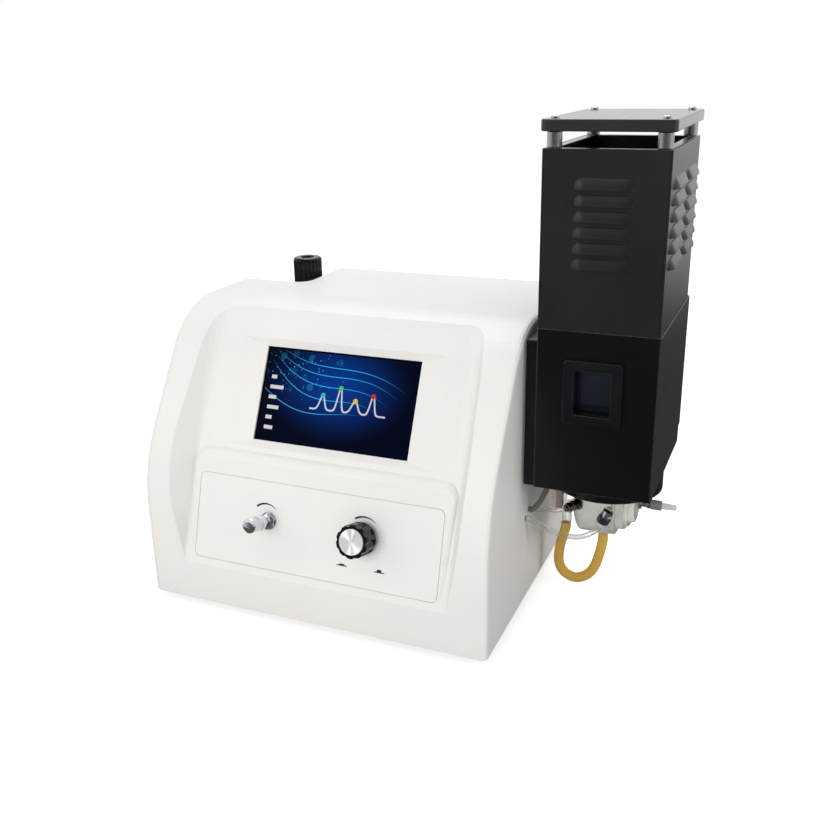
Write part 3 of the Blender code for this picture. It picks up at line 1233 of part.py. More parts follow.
def make_rear(black, brass):
    """Power inlet, switch frame and gas inlet on the rear."""
    out = CASE_D + FIT
    lay = Matrix.Rotation(-math.pi / 2, 4, "X")
    inlet = bezel_box("power_inlet", INLET_X, (INLET_W, INLET_H), INLET_T, INLET_T,
                      INLET_DEPTH, black)
    wide, tall = SOCKET_W / 2, SOCKET_H / 2
    corners = [(-wide, -tall), (wide, -tall), (wide, tall / 2), (wide * 0.7, tall),
               (-wide * 0.7, tall), (-wide, tall / 2)]
    socket = prism(corners, -SOCKET_DEPTH, INLET_T + OVERRUN)
    place = Matrix.Translation((INLET_X, out, INLET_Z)) @ lay
    combine(inlet, finish("socket", socket, place=place))
    frame = bezel_box("switch_frame", SWITCH_X, (SWITCH_W, SWITCH_H), SWITCH_RIM, SWITCH_T,
                      SWITCH_DEPTH, black)
    pivot = Matrix.Translation((SWITCH_X, out + SWITCH_T, INLET_Z))
    well = prism(rectangle(ROCKER_W, ROCKER_H), -ROCKER_H / 2 - SWITCH_T, OVERRUN)
    combine(frame, finish("well", well, place=pivot @ lay))
    make_rocker(black, pivot)
    inner = -SHEET * 3
    barb = [(0.0, inner), (BARB_R, inner), (BARB_R, FIT), (BARB_R * 1.6, FIT),
            (BARB_R * 1.6, SHEET), (BARB_R * 0.7, SHEET), (BARB_R * 0.7, BARB_L * 0.5),
            (BARB_R * 0.95, BARB_L * 0.55), (BARB_R * 0.7, BARB_L), (0.0, BARB_L)]
    place = along((0.0, 1.0, 0.0), (BARB_X, CASE_D, BARB_Z))
    nozzle = finish("gas_inlet", turned(barb, 12), brass, place=place)
    bore = rod(BARB_R / 3, BARB_L / 2, BARB_L * 2, 8)
    combine(nozzle, finish("bore", bore, place=place))


def make_rocker(black, pivot):
    """The rocker, round below its pivot, with two faces that meet in a shallow valley."""
    radius = ROCKER_H / 2 - FIT * 2
    crest = radius / 6
    outline = [(radius * math.cos(turn), radius * math.sin(turn))
               for turn in (math.pi + math.pi * step / 10 for step in range(11))]
    outline += [(radius * 0.98, crest), (0.0, crest / 3), (-radius * 0.98, crest)]
    half = ROCKER_W / 2 - FIT
    stand = Matrix(((0, 0, 1, 0), (0, 1, 0, 0), (-1, 0, 0, 0), (0, 0, 0, 1)))
    turn = Matrix.Rotation(ROCKER_TILT, 4, "X")
    finish("rocker", prism(outline, -half, half), black, place=pivot @ turn @ stand)


def make_inside(board, steel, black, glass):
    """Main board, power supply and the optics that look through the duct."""
    floor = SHEET + FIT
    plate = block((BOARD_X, BOARD_X + BOARD_W), (BOARD_Y, BOARD_Y + BOARD_D),
                  (floor + BOARD_LEG_H, floor + BOARD_LEG_H + BOARD_T))
    main_board = finish("main_board", plate, board)
    for x in (BOARD_X + BOARD_LEG_R * 2, BOARD_X + BOARD_W - BOARD_LEG_R * 2):
        for y in (BOARD_Y + BOARD_LEG_R * 2, BOARD_Y + BOARD_D - BOARD_LEG_R * 2):
            leg = rod(BOARD_LEG_R, floor, floor + BOARD_LEG_H + BOARD_T / 2, 8)
            combine(main_board, finish("leg", leg, place=Matrix.Translation((x, y, 0.0))), "UNION")
    finish("power_supply", block((SUPPLY_X, SUPPLY_X + SUPPLY_W), (SUPPLY_Y, SUPPLY_Y + SUPPLY_D),
                                 (floor, floor + SUPPLY_H)), steel)
    right = CASE_W - SHEET - OPTIC_GAP
    left = right - OPTIC_W
    low, high = LIGHT_Z - OPTIC_H / 2, LIGHT_Z + OPTIC_H / 2
    wide, slim = OPTIC_D / 2, COLUMN_D / 2
    outline = [(-slim, floor), (slim, floor), (slim, low), (wide, low), (wide, high),
               (-wide, high), (-wide, low), (-slim, low)]
    stand = Matrix(((0, 0, 1, 0), (1, 0, 0, 0), (0, 1, 0, 0), (0, 0, 0, 1)))
    place = Matrix.Translation((0.0, LIGHT_Y, 0.0)) @ stand
    optics = finish("optics_block", prism(outline, left, right), black, place=place)
    bore = rod(LENS_R + FIT, right - LENS_L, right + OVERRUN)
    axis = along((1.0, 0.0, 0.0), (0.0, LIGHT_Y, LIGHT_Z))
    combine(optics, finish("bore", bore, place=axis))
    lens = rod(LENS_R, right - LENS_L + FIT, CASE_W, 24)
    finish("optics_lens", lens, glass, place=axis)


def carry_all():
    """An empty that carries every piece, so that the origin lies under the middle."""
    bpy.context.view_layer.update()
    pieces = list(bpy.data.objects)
    lowest = Vector((0.0, FINE_CHAMFER - FINE_KNOB_R, 0.0))
    knob_tip = panel_frame(FINE_X, KNOB_LINE, FINE_REACH) @ lowest
    bench = bpy.data.objects.new("bench", None)
    bpy.context.scene.collection.objects.link(bench)
    for piece in pieces:
        piece.parent = bench
    bench.location = (-RIGHT_END / 2, -(knob_tip.y + BARB_END) / 2, FOOT_H)


def main():
    clear_scene()
    white = material("white_casing", (0.80, 0.79, 0.76), 0.42)
    steel = material("base_steel", (0.55, 0.55, 0.54), 0.38, 0.9)
    rubber = material("foot_rubber", (0.02, 0.02, 0.02), 0.8)
    glass = material("screen_glass", (0.01, 0.02, 0.08), 0.12)
    black = material("black_powder_coat", (0.022, 0.023, 0.026), 0.55)
    chrome = material("chrome", (0.75, 0.76, 0.78), 0.10, 1.0)
    metal = material("spun_aluminium", (0.72, 0.72, 0.73), 0.30, 1.0)
    knob = material("knob_plastic", (0.012, 0.012, 0.013), 0.35)
    brass = material("brass", (0.60, 0.42, 0.20), 0.35, 1.0)
    sight = material("sight_glass", (0.01, 0.02, 0.05), 0.08)
    frosted = material("frosted_plastic", (0.62, 0.64, 0.63), 0.35, 0.0, 0.3)
    clear = material("clear_tube", (0.85, 0.87, 0.86), 0.10, 0.0, 0.9)
    yellow = material("latex_tube", (0.55, 0.36, 0.06), 0.45)
    grey = material("grey_sleeve", (0.30, 0.31, 0.31), 0.6)
    dark = material("dark_fitting", (0.05, 0.045, 0.04), 0.35, 0.6)
    pale = material("pale_tip", (0.70, 0.70, 0.66), 0.5)
    board = material("circuit_board", (0.02, 0.16, 0.07), 0.5)
    make_front_cover(white)
    make_rear_casing(white)
    make_base(steel, rubber)
    make_screen(glass, steel)
    make_panel(white)
    make_valve("fine_valve", FINE_X, FINE_NUT_AF, FINE_NUT_T, FINE_STEM_R,
               (FINE_NECK_R, FINE_NECK_L), chrome)
    make_valve("gas_valve", GAS_X, GAS_NUT_AF, GAS_NUT_T, GAS_SHAFT_R,
               (BUSH_R * 0.9, GAS_NUT_T / 2), brass)
    make_fine_knob(chrome)
    make_gas_knob(knob, metal, steel)
    make_duct(black)
    make_burner_box(black)
    make_window(black, sight)
    make_chimney(black)
    make_top(black, steel)
    make_burner(black, frosted, metal)
    make_nebulizer(steel, grey, pale)
    make_lines(clear, yellow, grey)
    make_unions(dark, chrome)
    make_pillar(brass)
    make_regulator(black, clear, steel)
    make_rear(black, brass)
    make_inside(board, steel, black, glass)
    carry_all()


main()
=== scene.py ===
# %% [markdown]
# A bench flame photometer, dressed for its portrait. The moulded white housing carries a touch
# screen and two valve knobs, and a black burner tower stands beside it on the right.
# The solid model comes first and nothing in it is moved. Each later cell adds one finish, or one
# piece that is finer than its solid, and hides the solid that it stands for.

import json
import math

import bmesh
import bpy
from mathutils import Matrix, Vector


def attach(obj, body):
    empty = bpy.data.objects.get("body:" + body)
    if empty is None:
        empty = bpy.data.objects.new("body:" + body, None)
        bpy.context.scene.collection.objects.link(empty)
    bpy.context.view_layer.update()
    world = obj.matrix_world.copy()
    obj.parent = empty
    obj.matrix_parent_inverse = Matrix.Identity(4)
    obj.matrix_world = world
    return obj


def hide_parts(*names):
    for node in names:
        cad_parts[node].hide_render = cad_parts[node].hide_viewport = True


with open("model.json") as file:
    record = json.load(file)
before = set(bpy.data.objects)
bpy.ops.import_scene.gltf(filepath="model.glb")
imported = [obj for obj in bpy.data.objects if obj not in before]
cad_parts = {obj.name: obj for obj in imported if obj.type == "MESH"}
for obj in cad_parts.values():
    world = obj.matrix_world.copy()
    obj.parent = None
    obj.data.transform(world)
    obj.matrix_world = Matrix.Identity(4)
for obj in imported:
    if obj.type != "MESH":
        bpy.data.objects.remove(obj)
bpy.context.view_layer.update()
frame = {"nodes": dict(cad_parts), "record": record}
nodes = frame["nodes"]
print("solids loaded:", len(nodes))

# %% [markdown]
# Sizes on a bench instrument are read in millimetres from one corner of its housing, and Blender
# counts in metres from the middle of the floor. One small function turns the first into the
# second, so that every later number can be checked with a ruler on the real thing.

# %% Millimetres from the housing's corner
MM = 0.001
CORNER = Vector((-233.1, -135.471, 8.0)) * MM      # lower front left corner of the housing


def bench(x, y, z):
    """A place in metres from millimetres right, back and up of the housing's corner."""
    return CORNER + Vector((x, y, z)) * MM


print("housing corner:", [round(value, 4) for value in bench(0, 0, 0)])

# %% [markdown]
# The camera looks down at the instrument from its front right, as a catalogue photographer
# stands. Its place and turn come from the straight edges of the housing and tower, and a lens
# a little longer than normal keeps the uprights calm.

# %% Camera
CAMERA_PLACE = Vector((0.326739, -0.803724, 0.487552))
CAMERA_YAW = 0.405723
CAMERA_DIP = 0.342287
CAMERA_ROLL = -0.020349
LENS = 42.779
SENSOR = 36.0


def camera_turn(yaw, dip, roll):
    """Rotation of a camera that looks yaw to the left of +Y and dip below the horizon."""
    ahead = Vector((-math.sin(yaw) * math.cos(dip), math.cos(yaw) * math.cos(dip), -math.sin(dip)))
    side = Vector((math.cos(yaw), math.sin(yaw), 0.0))
    top = side.cross(ahead)
    right = side * math.cos(roll) + top * math.sin(roll)
    above = top * math.cos(roll) - side * math.sin(roll)
    return Matrix((right, above, -ahead)).transposed().to_4x4()


lens = bpy.data.cameras.new("portrait_lens")
lens.lens = LENS
lens.sensor_width = SENSOR
camera = bpy.data.objects.new("portrait_camera", lens)
camera.matrix_world = (Matrix.Translation(CAMERA_PLACE)
                       @ camera_turn(CAMERA_YAW, CAMERA_DIP, CAMERA_ROLL))
bpy.context.scene.collection.objects.link(camera)
bpy.context.scene.camera = camera
bpy.context.scene.view_settings.view_transform = "Standard"
print("camera stands", round(CAMERA_PLACE.length, 3), "m from the middle of the floor")

# %% [markdown]
# Shader trees are easier to read when each node is made in one line. `add` makes a node and
# plugs in its inputs: a socket is linked and a plain value is typed in. `calc`, `vector_calc`,
# `ramp` and `noise` do the same for the nodes that are used most. `new_effect` starts a node
# group with named sockets, which any material can reuse.

# %% Small tools for shader trees
def add(tree, kind, sockets=None, **settings):
    """Make a node, apply its settings, then link or fill its inputs."""
    made = tree.nodes.new(kind)
    for key, value in settings.items():
        setattr(made, key, value)
    for key, value in (sockets or {}).items():
        if isinstance(value, bpy.types.NodeSocket):
            tree.links.new(value, made.inputs[key])
        else:
            made.inputs[key].default_value = value
    return made


def link(tree, source, target):
    tree.links.new(source, target)


def calc(tree, operation, *values, clamp=False):
    """One sum on sockets or numbers; returns its result socket."""
    sockets = dict(enumerate(values))
    return add(tree, "ShaderNodeMath", sockets, operation=operation, use_clamp=clamp).outputs[0]


def vector_calc(tree, operation, *values):
    """One sum on places or directions; a length or a product comes back as a number."""
    made = add(tree, "ShaderNodeVectorMath", dict(enumerate(values)), operation=operation)
    number = operation in ("DOT_PRODUCT", "DISTANCE", "LENGTH")
    return made.outputs["Value" if number else "Vector"]


def ramp(tree, value, start, stop, low=0.0, high=1.0, kind="SMOOTHSTEP"):
    """Low where a value is at start, high where it is at stop, and held beyond both."""
    return add(tree, "ShaderNodeMapRange", {"Value": value, "From Min": start, "From Max": stop,
                                            "To Min": low, "To Max": high},
               interpolation_type=kind).outputs[0]


def own_place(tree):
    """Where a point lies in its object's own space."""
    return add(tree, "ShaderNodeTexCoord").outputs["Object"]


def noise(tree, scale, detail, place=None):
    """Soft noise from 0 to 1, in the object's own space where no other is given."""
    return add(tree, "ShaderNodeTexNoise", {"Vector": own_place(tree) if place is None else place,
                                            "Scale": scale, "Detail": detail}).outputs["Fac"]


def axes(tree, vector):
    """The X, Y and Z sockets of a vector."""
    return add(tree, "ShaderNodeSeparateXYZ", {"Vector": vector}).outputs


def blended(tree, share, one, other):
    """A colour between two colours, by a share from 0 to 1."""
    colours = {6: one, 7: other}        # this node's colour sockets, of all its kinds
    return add(tree, "ShaderNodeMix", {"Factor": share, **colours}, data_type="RGBA").outputs[2]


def new_effect(name, inputs, outputs):
    """A node group with named inputs (name: (kind, value)) and outputs (name: kind)."""
    tree = bpy.data.node_groups.new(name, "ShaderNodeTree")
    for label, (kind, value) in inputs.items():
        socket = tree.interface.new_socket(label, in_out="INPUT", socket_type="NodeSocket" + kind)
        socket.default_value = value
    for label, kind in outputs.items():
        tree.interface.new_socket(label, in_out="OUTPUT", socket_type="NodeSocket" + kind)
    return tree, tree.nodes.new("NodeGroupInput").outputs, tree.nodes.new("NodeGroupOutput").inputs


print("shader tools ready")

# %% [markdown]
# Sprayed and moulded surfaces are never quite even. Fine noise gives the orange-peel grain of a
# textured mould or of powder coat. It leaves as a height for a Bump node and as a shade that
# can shift the roughness a little. The scale is set in each material, because powder coat is
# coarser than moulded plastic.

# %% Effect: grain
WHITE = (1.0, 1.0, 1.0, 1.0)
COARSER = 0.23        # scale of the second noise, as a share of the first
grain_tree, grain_in, grain_out = new_effect(
    "fine_grain", {"Scale": ("Float", 900.0)}, {"Height": "Float", "Shade": "Float"})
grain_fine = noise(grain_tree, grain_in["Scale"], 2.0)
grain_coarse = noise(grain_tree, calc(grain_tree, "MULTIPLY", grain_in["Scale"], COARSER), 1.0)
link(grain_tree, grain_fine, grain_out["Height"])
both_grains = calc(grain_tree, "ADD", grain_fine, grain_coarse)
link(grain_tree, calc(grain_tree, "MULTIPLY", both_grains, 0.5), grain_out["Shade"])
print("effect:", grain_tree.name)

# %% [markdown]
# Over a hand's width a real coat drifts a little lighter and darker, because it is never the
# same thickness everywhere. Slow noise mixes two close colours; the eye doesn't notice it, but
# misses it when it isn't there.

# %% Effect: slow drift of tone
drift_tree, drift_in, drift_out = new_effect(
    "tone_drift", {"Colour": ("Color", WHITE), "Other": ("Color", WHITE), "Scale": ("Float", 9.0)},
    {"Colour": "Color", "Shade": "Float"})
drift_share = ramp(drift_tree, noise(drift_tree, drift_in["Scale"], 3.0), 0.35, 0.65)
link(drift_tree, blended(drift_tree, drift_share, drift_in["Colour"], drift_in["Other"]),
     drift_out["Colour"])
link(drift_tree, drift_share, drift_out["Shade"])
print("effect:", drift_tree.name)

# %% [markdown]
# Dust settles where a surface looks up. The shader's normal says how far up it looks, and noise
# breaks the film into soft patches. It lightens dark paint and dulls its gloss.

# %% Effect: settled dust
DULLING = 0.5        # roughness that a full film of dust adds
dust_tree, dust_in, dust_out = new_effect(
    "settled_dust", {"Colour": ("Color", WHITE), "Dust": ("Color", (0.45, 0.43, 0.4, 1.0)),
                     "Roughness": ("Float", 0.5), "Amount": ("Float", 0.1)},
    {"Colour": "Color", "Roughness": "Float"})
dust_up = axes(dust_tree, add(dust_tree, "ShaderNodeNewGeometry").outputs["Normal"])["Z"]
dust_lie = ramp(dust_tree, dust_up, 0.3, 1.0)
dust_film = calc(dust_tree, "MULTIPLY", dust_lie, noise(dust_tree, 60.0, 4.0))
dust_share = calc(dust_tree, "MULTIPLY", dust_film, dust_in["Amount"], clamp=True)
link(dust_tree, blended(dust_tree, dust_share, dust_in["Colour"], dust_in["Dust"]),
     dust_out["Colour"])
dust_dull = calc(dust_tree, "MULTIPLY", dust_share, DULLING)
link(dust_tree, calc(dust_tree, "ADD", dust_in["Roughness"], dust_dull, clamp=True),
     dust_out["Roughness"])
print("effect:", dust_tree.name)

# %% [markdown]
# Paint and plastic go a little paler and smoother where hands and cloths rub their edges, and the
# same paler edge also stands in for the highlight that a rounded edge catches, so it is partly
# wear and partly painted highlight. The Bevel node looks round each edge; where its normal parts
# from the true one, an edge is near.

# %% Effect: rubbed edges and painted edge highlights
edge_wear_and_highlight_tree, edge_wear_and_highlight_in, edge_wear_and_highlight_out = new_effect(
    "rubbed_edge_and_painted_highlight", {"Colour": ("Color", WHITE), "Rubbed": ("Color", WHITE),
                    "Width": ("Float", 0.0008), "Amount": ("Float", 0.5)},
    {"Colour": "Color", "Mask": "Float"})
rub_round = add(edge_wear_and_highlight_tree, "ShaderNodeBevel", {"Radius": edge_wear_and_highlight_in["Width"]}, samples=3).outputs[0]
rub_true = add(edge_wear_and_highlight_tree, "ShaderNodeNewGeometry").outputs["Normal"]
rub_match = vector_calc(edge_wear_and_highlight_tree, "DOT_PRODUCT", rub_round, rub_true)
rub_near = ramp(edge_wear_and_highlight_tree, rub_match, 0.98, 0.8, kind="LINEAR")
edge_wear_and_highlight_spots = calc(edge_wear_and_highlight_tree, "MULTIPLY", rub_near, noise(edge_wear_and_highlight_tree, 160.0, 3.0))
edge_wear_and_highlight_mask = calc(edge_wear_and_highlight_tree, "MULTIPLY", edge_wear_and_highlight_spots, edge_wear_and_highlight_in["Amount"], clamp=True)
link(edge_wear_and_highlight_tree, blended(edge_wear_and_highlight_tree, edge_wear_and_highlight_mask, edge_wear_and_highlight_in["Colour"], edge_wear_and_highlight_in["Rubbed"]), edge_wear_and_highlight_out["Colour"])
link(edge_wear_and_highlight_tree, edge_wear_and_highlight_mask, edge_wear_and_highlight_out["Mask"])
print("effect:", edge_wear_and_highlight_tree.name)

# %% [markdown]
# A lathe leaves fine rings and drawing leaves fine lines along a bar. Both are noise that
# changes with the distance to the object's own Z axis and with the height along it. The result
# shifts the roughness and feeds a very low bump.

# %% Effect: turned rings
ring_tree, ring_in, ring_out = new_effect(
    "turned_rings", {"Rings": ("Float", 2500.0)}, {"Height": "Float"})
ring_axes = axes(ring_tree, own_place(ring_tree))
ring_flat = add(ring_tree, "ShaderNodeCombineXYZ",
                {"X": ring_axes["X"], "Y": ring_axes["Y"]}).outputs[0]
ring_key = add(ring_tree, "ShaderNodeCombineXYZ",
               {"X": vector_calc(ring_tree, "LENGTH", ring_flat), "Y": ring_axes["Z"]}).outputs[0]
link(ring_tree, noise(ring_tree, ring_in["Rings"], 1.0, ring_key), ring_out["Height"])
print("effect:", ring_tree.name)

# %% [markdown]
# Every finish below starts from the same Principled shader: a colour, a roughness, and a bump
# so low that it only breaks up the highlight. `start_finish` makes that, and each material cell
# then adds the effects that its own surface shows. Constants stay on the shader itself.

# %% Starting a finish
FINISH = {}
GRAIN_HIGH, RING_HIGH = 0.0001, 0.00002        # greatest bump of a grain and of a ring, in metres
SMOOTHING = -0.2                               # roughness that rubbing takes away


def start_finish(slot, colour, rough, **constants):
    """A new Principled material for one slot of the record; returns tree and shader."""
    made = bpy.data.materials.new("finish_" + slot)
    made.use_nodes = True
    tree = made.node_tree
    shader = tree.nodes["Principled BSDF"]
    shader.inputs["Base Color"].default_value = (*colour, 1.0)
    shader.inputs["Roughness"].default_value = rough
    for label, value in constants.items():
        shader.inputs[label.replace("_", " ")].default_value = value
    FINISH[slot] = made
    return tree, shader


def use_effect(tree, effect, **sockets):
    """Place a node group in a material; returns the node's outputs."""
    return add(tree, "ShaderNodeGroup", sockets, node_tree=effect).outputs


def bump(tree, shader, height, strength, distance):
    """Let a height change the shader's normal."""
    made = add(tree, "ShaderNodeBump", {"Height": height, "Strength": strength,
                                        "Distance": distance})
    link(tree, made.outputs["Normal"], shader.inputs["Normal"])


def grained(slot, colour, other, rough, swing, scale, depth, dust=0.0, rubbed_and_highlight=None, edge_amount=0.5,
            **constants):
    """A sprayed or moulded finish: drifting tone, dust, worn edges with painted highlight, fine
    grain.
    """
    tree, shader = start_finish(slot, colour, rough, **constants)
    paint = use_effect(tree, drift_tree, Colour=(*colour, 1.0), Other=(*other, 1.0))["Colour"]
    grain = use_effect(tree, grain_tree, Scale=scale)
    shade = calc(tree, "MULTIPLY_ADD", grain["Shade"], swing, rough - swing / 2)
    # Paler edges: partly rubbed wear, partly a painted highlight along each edge.
    if rubbed_and_highlight:
        worn_and_highlight = use_effect(tree, edge_wear_and_highlight_tree, Colour=paint, Rubbed=(*rubbed_and_highlight, 1.0), Amount=edge_amount)
        paint = worn_and_highlight["Colour"]
        shade = calc(tree, "MULTIPLY_ADD", worn_and_highlight["Mask"], SMOOTHING, shade)
    if dust:
        film = use_effect(tree, dust_tree, Colour=paint, Roughness=shade, Amount=dust)
        paint, shade = film["Colour"], film["Roughness"]
    link(tree, paint, shader.inputs["Base Color"])
    link(tree, shade, shader.inputs["Roughness"])
    bump(tree, shader, grain["Height"], depth, GRAIN_HIGH)
    return tree, shader


print("finish tools ready")

# %% [markdown]
# The housing is moulded in warm white plastic with a fine spark grain, and the sheet behind it
# is sprayed to match. Both are semi-matt: light spreads wide on them, but a grazing edge still
# shines.

# %% Finish: white housing and sheet
grained("white_casing", (0.79, 0.775, 0.755), (0.77, 0.757, 0.74), 0.42, 0.12, 1100.0, 0.25,
        dust=0.05)
grained("casing_sheet", (0.80, 0.785, 0.765), (0.78, 0.768, 0.75), 0.36, 0.1, 700.0, 0.2,
        dust=0.05)
print("white finishes ready")

# %% [markdown]
# The tower is folded from steel sheet with black powder coat. The chimney has a slightly
# paler, drier coat than the burner box under it, so they get two materials from one recipe.
# A low specular level keeps the front deep black while the side still catches the light. A clear
# coat that grows with height paints a brighter sheen on the chimney's upper part.

# %% Finish: black coats
PAINTED_SHEEN_FROM, PAINTED_SHEEN_FULL, PAINTED_SHEEN_COAT = 0.31, 0.405, 0.2        # heights in metres, and coat weight
# The paler edge colours on these black finishes are partly rubbed wear and partly painted edge
# highlight.
grained("black_powder_coat", (0.0034, 0.004, 0.005), (0.0022, 0.0026, 0.0034), 0.34, 0.14, 520.0,
        0.3, dust=0.04, rubbed_and_highlight=(0.34, 0.26, 0.23), edge_amount=1.5, Specular_IOR_Level=0.3)
# The chimney's coat weight rises with height: a painted sheen, brighter toward the top.
painted_sheen, painted_sheen_shader = grained("chimney_coat", (0.0165, 0.0165, 0.0168), (0.012, 0.012, 0.0123),
                              0.31, 0.12, 520.0, 0.40, dust=0.04, rubbed_and_highlight=(0.07, 0.07, 0.07),
                              Specular_IOR_Level=0.28, Coat_Roughness=0.31)
painted_sheen_height = axes(painted_sheen, add(painted_sheen, "ShaderNodeNewGeometry").outputs["Position"])["Z"]
link(painted_sheen, ramp(painted_sheen, painted_sheen_height, PAINTED_SHEEN_FROM, PAINTED_SHEEN_FULL, 0.0, PAINTED_SHEEN_COAT),
     painted_sheen_shader.inputs["Coat Weight"])
grained("shield_coat", (0.024, 0.024, 0.0242), (0.020, 0.020, 0.0202), 0.16, 0.08, 520.0, 0.15,
        dust=0.05, rubbed_and_highlight=(0.07, 0.07, 0.07), Specular_IOR_Level=0.4)
grained("black_plastic", (0.0058, 0.0066, 0.0082), (0.004, 0.0048, 0.0062), 0.24, 0.08, 900.0,
        0.12, rubbed_and_highlight=(0.12, 0.12, 0.125), edge_amount=0.8, Specular_IOR_Level=0.3)
grained("foot_rubber", (0.012, 0.012, 0.012), (0.018, 0.018, 0.017), 0.75, 0.1, 600.0, 0.3)
print("black finishes ready")

# %% [markdown]
# Bare metals reflect and have no colour beneath, so Metallic is 1 and the base colour is the
# tint of the reflection; a lacquered one is given a little less, for the haze in its lacquer.
# Turned parts carry the ring effect. The spun disc also has painted highlights: pairs of bright
# wedges, where its Metallic drops along a few directions across its face.

# %% Finish: metals
def metal(slot, colour, tarnish, rough, swing, rings, depth, metallic=1.0, **constants):
    """A turned or drawn metal with fine rings and a little tarnish."""
    tree, shader = start_finish(slot, colour, rough, Metallic=metallic, **constants)
    ring = use_effect(tree, ring_tree, Rings=rings)["Height"]
    link(tree, calc(tree, "MULTIPLY_ADD", ring, swing, rough - swing / 2),
         shader.inputs["Roughness"])
    tone = use_effect(tree, drift_tree, Colour=(*colour, 1.0), Other=(*tarnish, 1.0), Scale=90.0)
    link(tree, tone["Colour"], shader.inputs["Base Color"])
    bump(tree, shader, ring, depth, RING_HIGH)
    return tree, shader


metal("chrome", (0.80, 0.81, 0.84), (0.64, 0.66, 0.71), 0.07, 0.05, 900.0, 0.08)
metal("base_steel", (0.52, 0.50, 0.49), (0.43, 0.41, 0.40), 0.24, 0.12, 1800.0, 0.3)
metal("brass", (0.72, 0.62, 0.57), (0.50, 0.41, 0.37), 0.24, 0.10, 1500.0, 0.05, 0.8)
metal("dark_fitting", (0.30, 0.285, 0.29), (0.22, 0.19, 0.17), 0.10, 0.06, 1500.0, 0.10)
SPUN_METALLIC, PAINTED_WEDGE_METALLIC = 0.62, 0.05
PAINTED_WEDGES = ((136.0, 14.0), (85.0, 70.0))        # each pair's direction in degrees, and tightness
spun, spun_shader = metal("spun_aluminium", (0.94, 0.94, 0.94), (0.90, 0.90, 0.91), 0.40, 0.04,
                          1500.0, 0.08, SPUN_METALLIC, Anisotropic=0.9)
link(spun, add(spun, "ShaderNodeTangent", direction_type="RADIAL", axis="Z").outputs["Tangent"],
     spun_shader.inputs["Tangent"])
face_way = vector_calc(spun, "NORMALIZE",
                       vector_calc(spun, "MULTIPLY", own_place(spun), (1.0, 1.0, 0.0)))
# Painted highlights: the disc's Metallic drops along a few directions, so bright wedges show
# there.
painted_wedge_mask = 0.0
for turn, tightness in PAINTED_WEDGES:
    painted_wedge_way = (math.cos(math.radians(turn)), math.sin(math.radians(turn)), 0.0)
    along = calc(spun, "ABSOLUTE", vector_calc(spun, "DOT_PRODUCT", face_way, painted_wedge_way))
    painted_wedge_mask = calc(spun, "MAXIMUM", painted_wedge_mask, calc(spun, "POWER", along, tightness))
link(spun, calc(spun, "MULTIPLY_ADD", painted_wedge_mask, PAINTED_WEDGE_METALLIC - SPUN_METALLIC, SPUN_METALLIC),
     spun_shader.inputs["Metallic"])
print("metal finishes ready")

# %% [markdown]
# Small plastics, rubber and glass. The hoses are clear and slightly yellowed: light passes
# through them, and their rims are painted dark, a painted shade for the light that runs a long way
# inside the wall there. The drain loop is soft latex, which scatters light under its skin, and
# the spray chamber is frosted. Transmission stays a plain number on each shader.

# %% Finish: plastics, hoses and glass
# The knob's paler edges are partly rubbed wear and partly painted edge highlight.
grained("knob_plastic", (0.004, 0.004, 0.005), (0.006, 0.006, 0.007), 0.08, 0.03, 1400.0, 0.02,
        rubbed_and_highlight=(0.10, 0.10, 0.10), edge_amount=0.8, Specular_IOR_Level=0.2)
grained("sight_glass", (0.006, 0.009, 0.016), (0.010, 0.013, 0.022), 0.05, 0.02, 300.0, 0.02)
grained("frosted_plastic", (0.93, 0.925, 0.885), (0.87, 0.865, 0.83), 0.24, 0.08, 700.0, 0.1,
        Transmission_Weight=0.75, IOR=1.35)
PAINTED_RIM_POWER = 1.9        # how closely the hoses' dark keeps to their rims
hose_clear, hose_shader = start_finish("clear_tube", (0.95, 0.95, 0.93), 0.02, IOR=1.08,
                                       Transmission_Weight=1.0, Coat_Weight=1.0,
                                       Coat_Roughness=0.06)
# The rims get painted shade: the colour darkens where the hose turns away from view.
hose_facing = add(hose_clear, "ShaderNodeLayerWeight", {"Blend": 0.5}).outputs["Facing"]
painted_rim_shade = calc(hose_clear, "POWER", hose_facing, PAINTED_RIM_POWER)
painted_rim_colour = use_effect(hose_clear, drift_tree, Colour=(0.12, 0.118, 0.112, 1.0),
                       Other=(0.20, 0.195, 0.185, 1.0))["Colour"]
link(hose_clear, blended(hose_clear, painted_rim_shade, (0.975, 0.975, 0.955, 1.0), painted_rim_colour),
     hose_shader.inputs["Base Color"])
grained("latex_tube", (0.70, 0.45, 0.075), (0.62, 0.38, 0.06), 0.42, 0.1, 450.0, 0.2,
        Subsurface_Weight=0.12, Subsurface_Scale=0.003)
grained("grey_sleeve", (0.20, 0.205, 0.21), (0.15, 0.155, 0.16), 0.42, 0.1, 800.0, 0.2)
grained("release_ring", (0.55, 0.60, 0.72), (0.47, 0.52, 0.63), 0.28, 0.1, 900.0, 0.2,
        Transmission_Weight=0.2)
grained("pale_tip", (0.62, 0.62, 0.60), (0.52, 0.52, 0.50), 0.3, 0.1, 900.0, 0.2)
grained("circuit_board", (0.015, 0.09, 0.045), (0.02, 0.12, 0.06), 0.35, 0.1, 500.0, 0.2)
grained("bowl_plastic", (0.75, 0.78, 0.78), (0.70, 0.73, 0.73), 0.12, 0.05, 500.0, 0.1,
        Transmission_Weight=0.8, IOR=1.4)
grained("screen_glass", (0.006, 0.007, 0.010), (0.008, 0.009, 0.012), 0.07, 0.02, 200.0, 0.01)
print("finishes:", len(FINISH))

# %% [markdown]
# Sheet metal and mouldings never end in a knife edge. The solids keep their sharp corners, so
# each one gets a chain of modifiers: weld the split corners, join the triangles of each flat
# face, round the edges by a hair, and weight the normals so that flats stay flat.

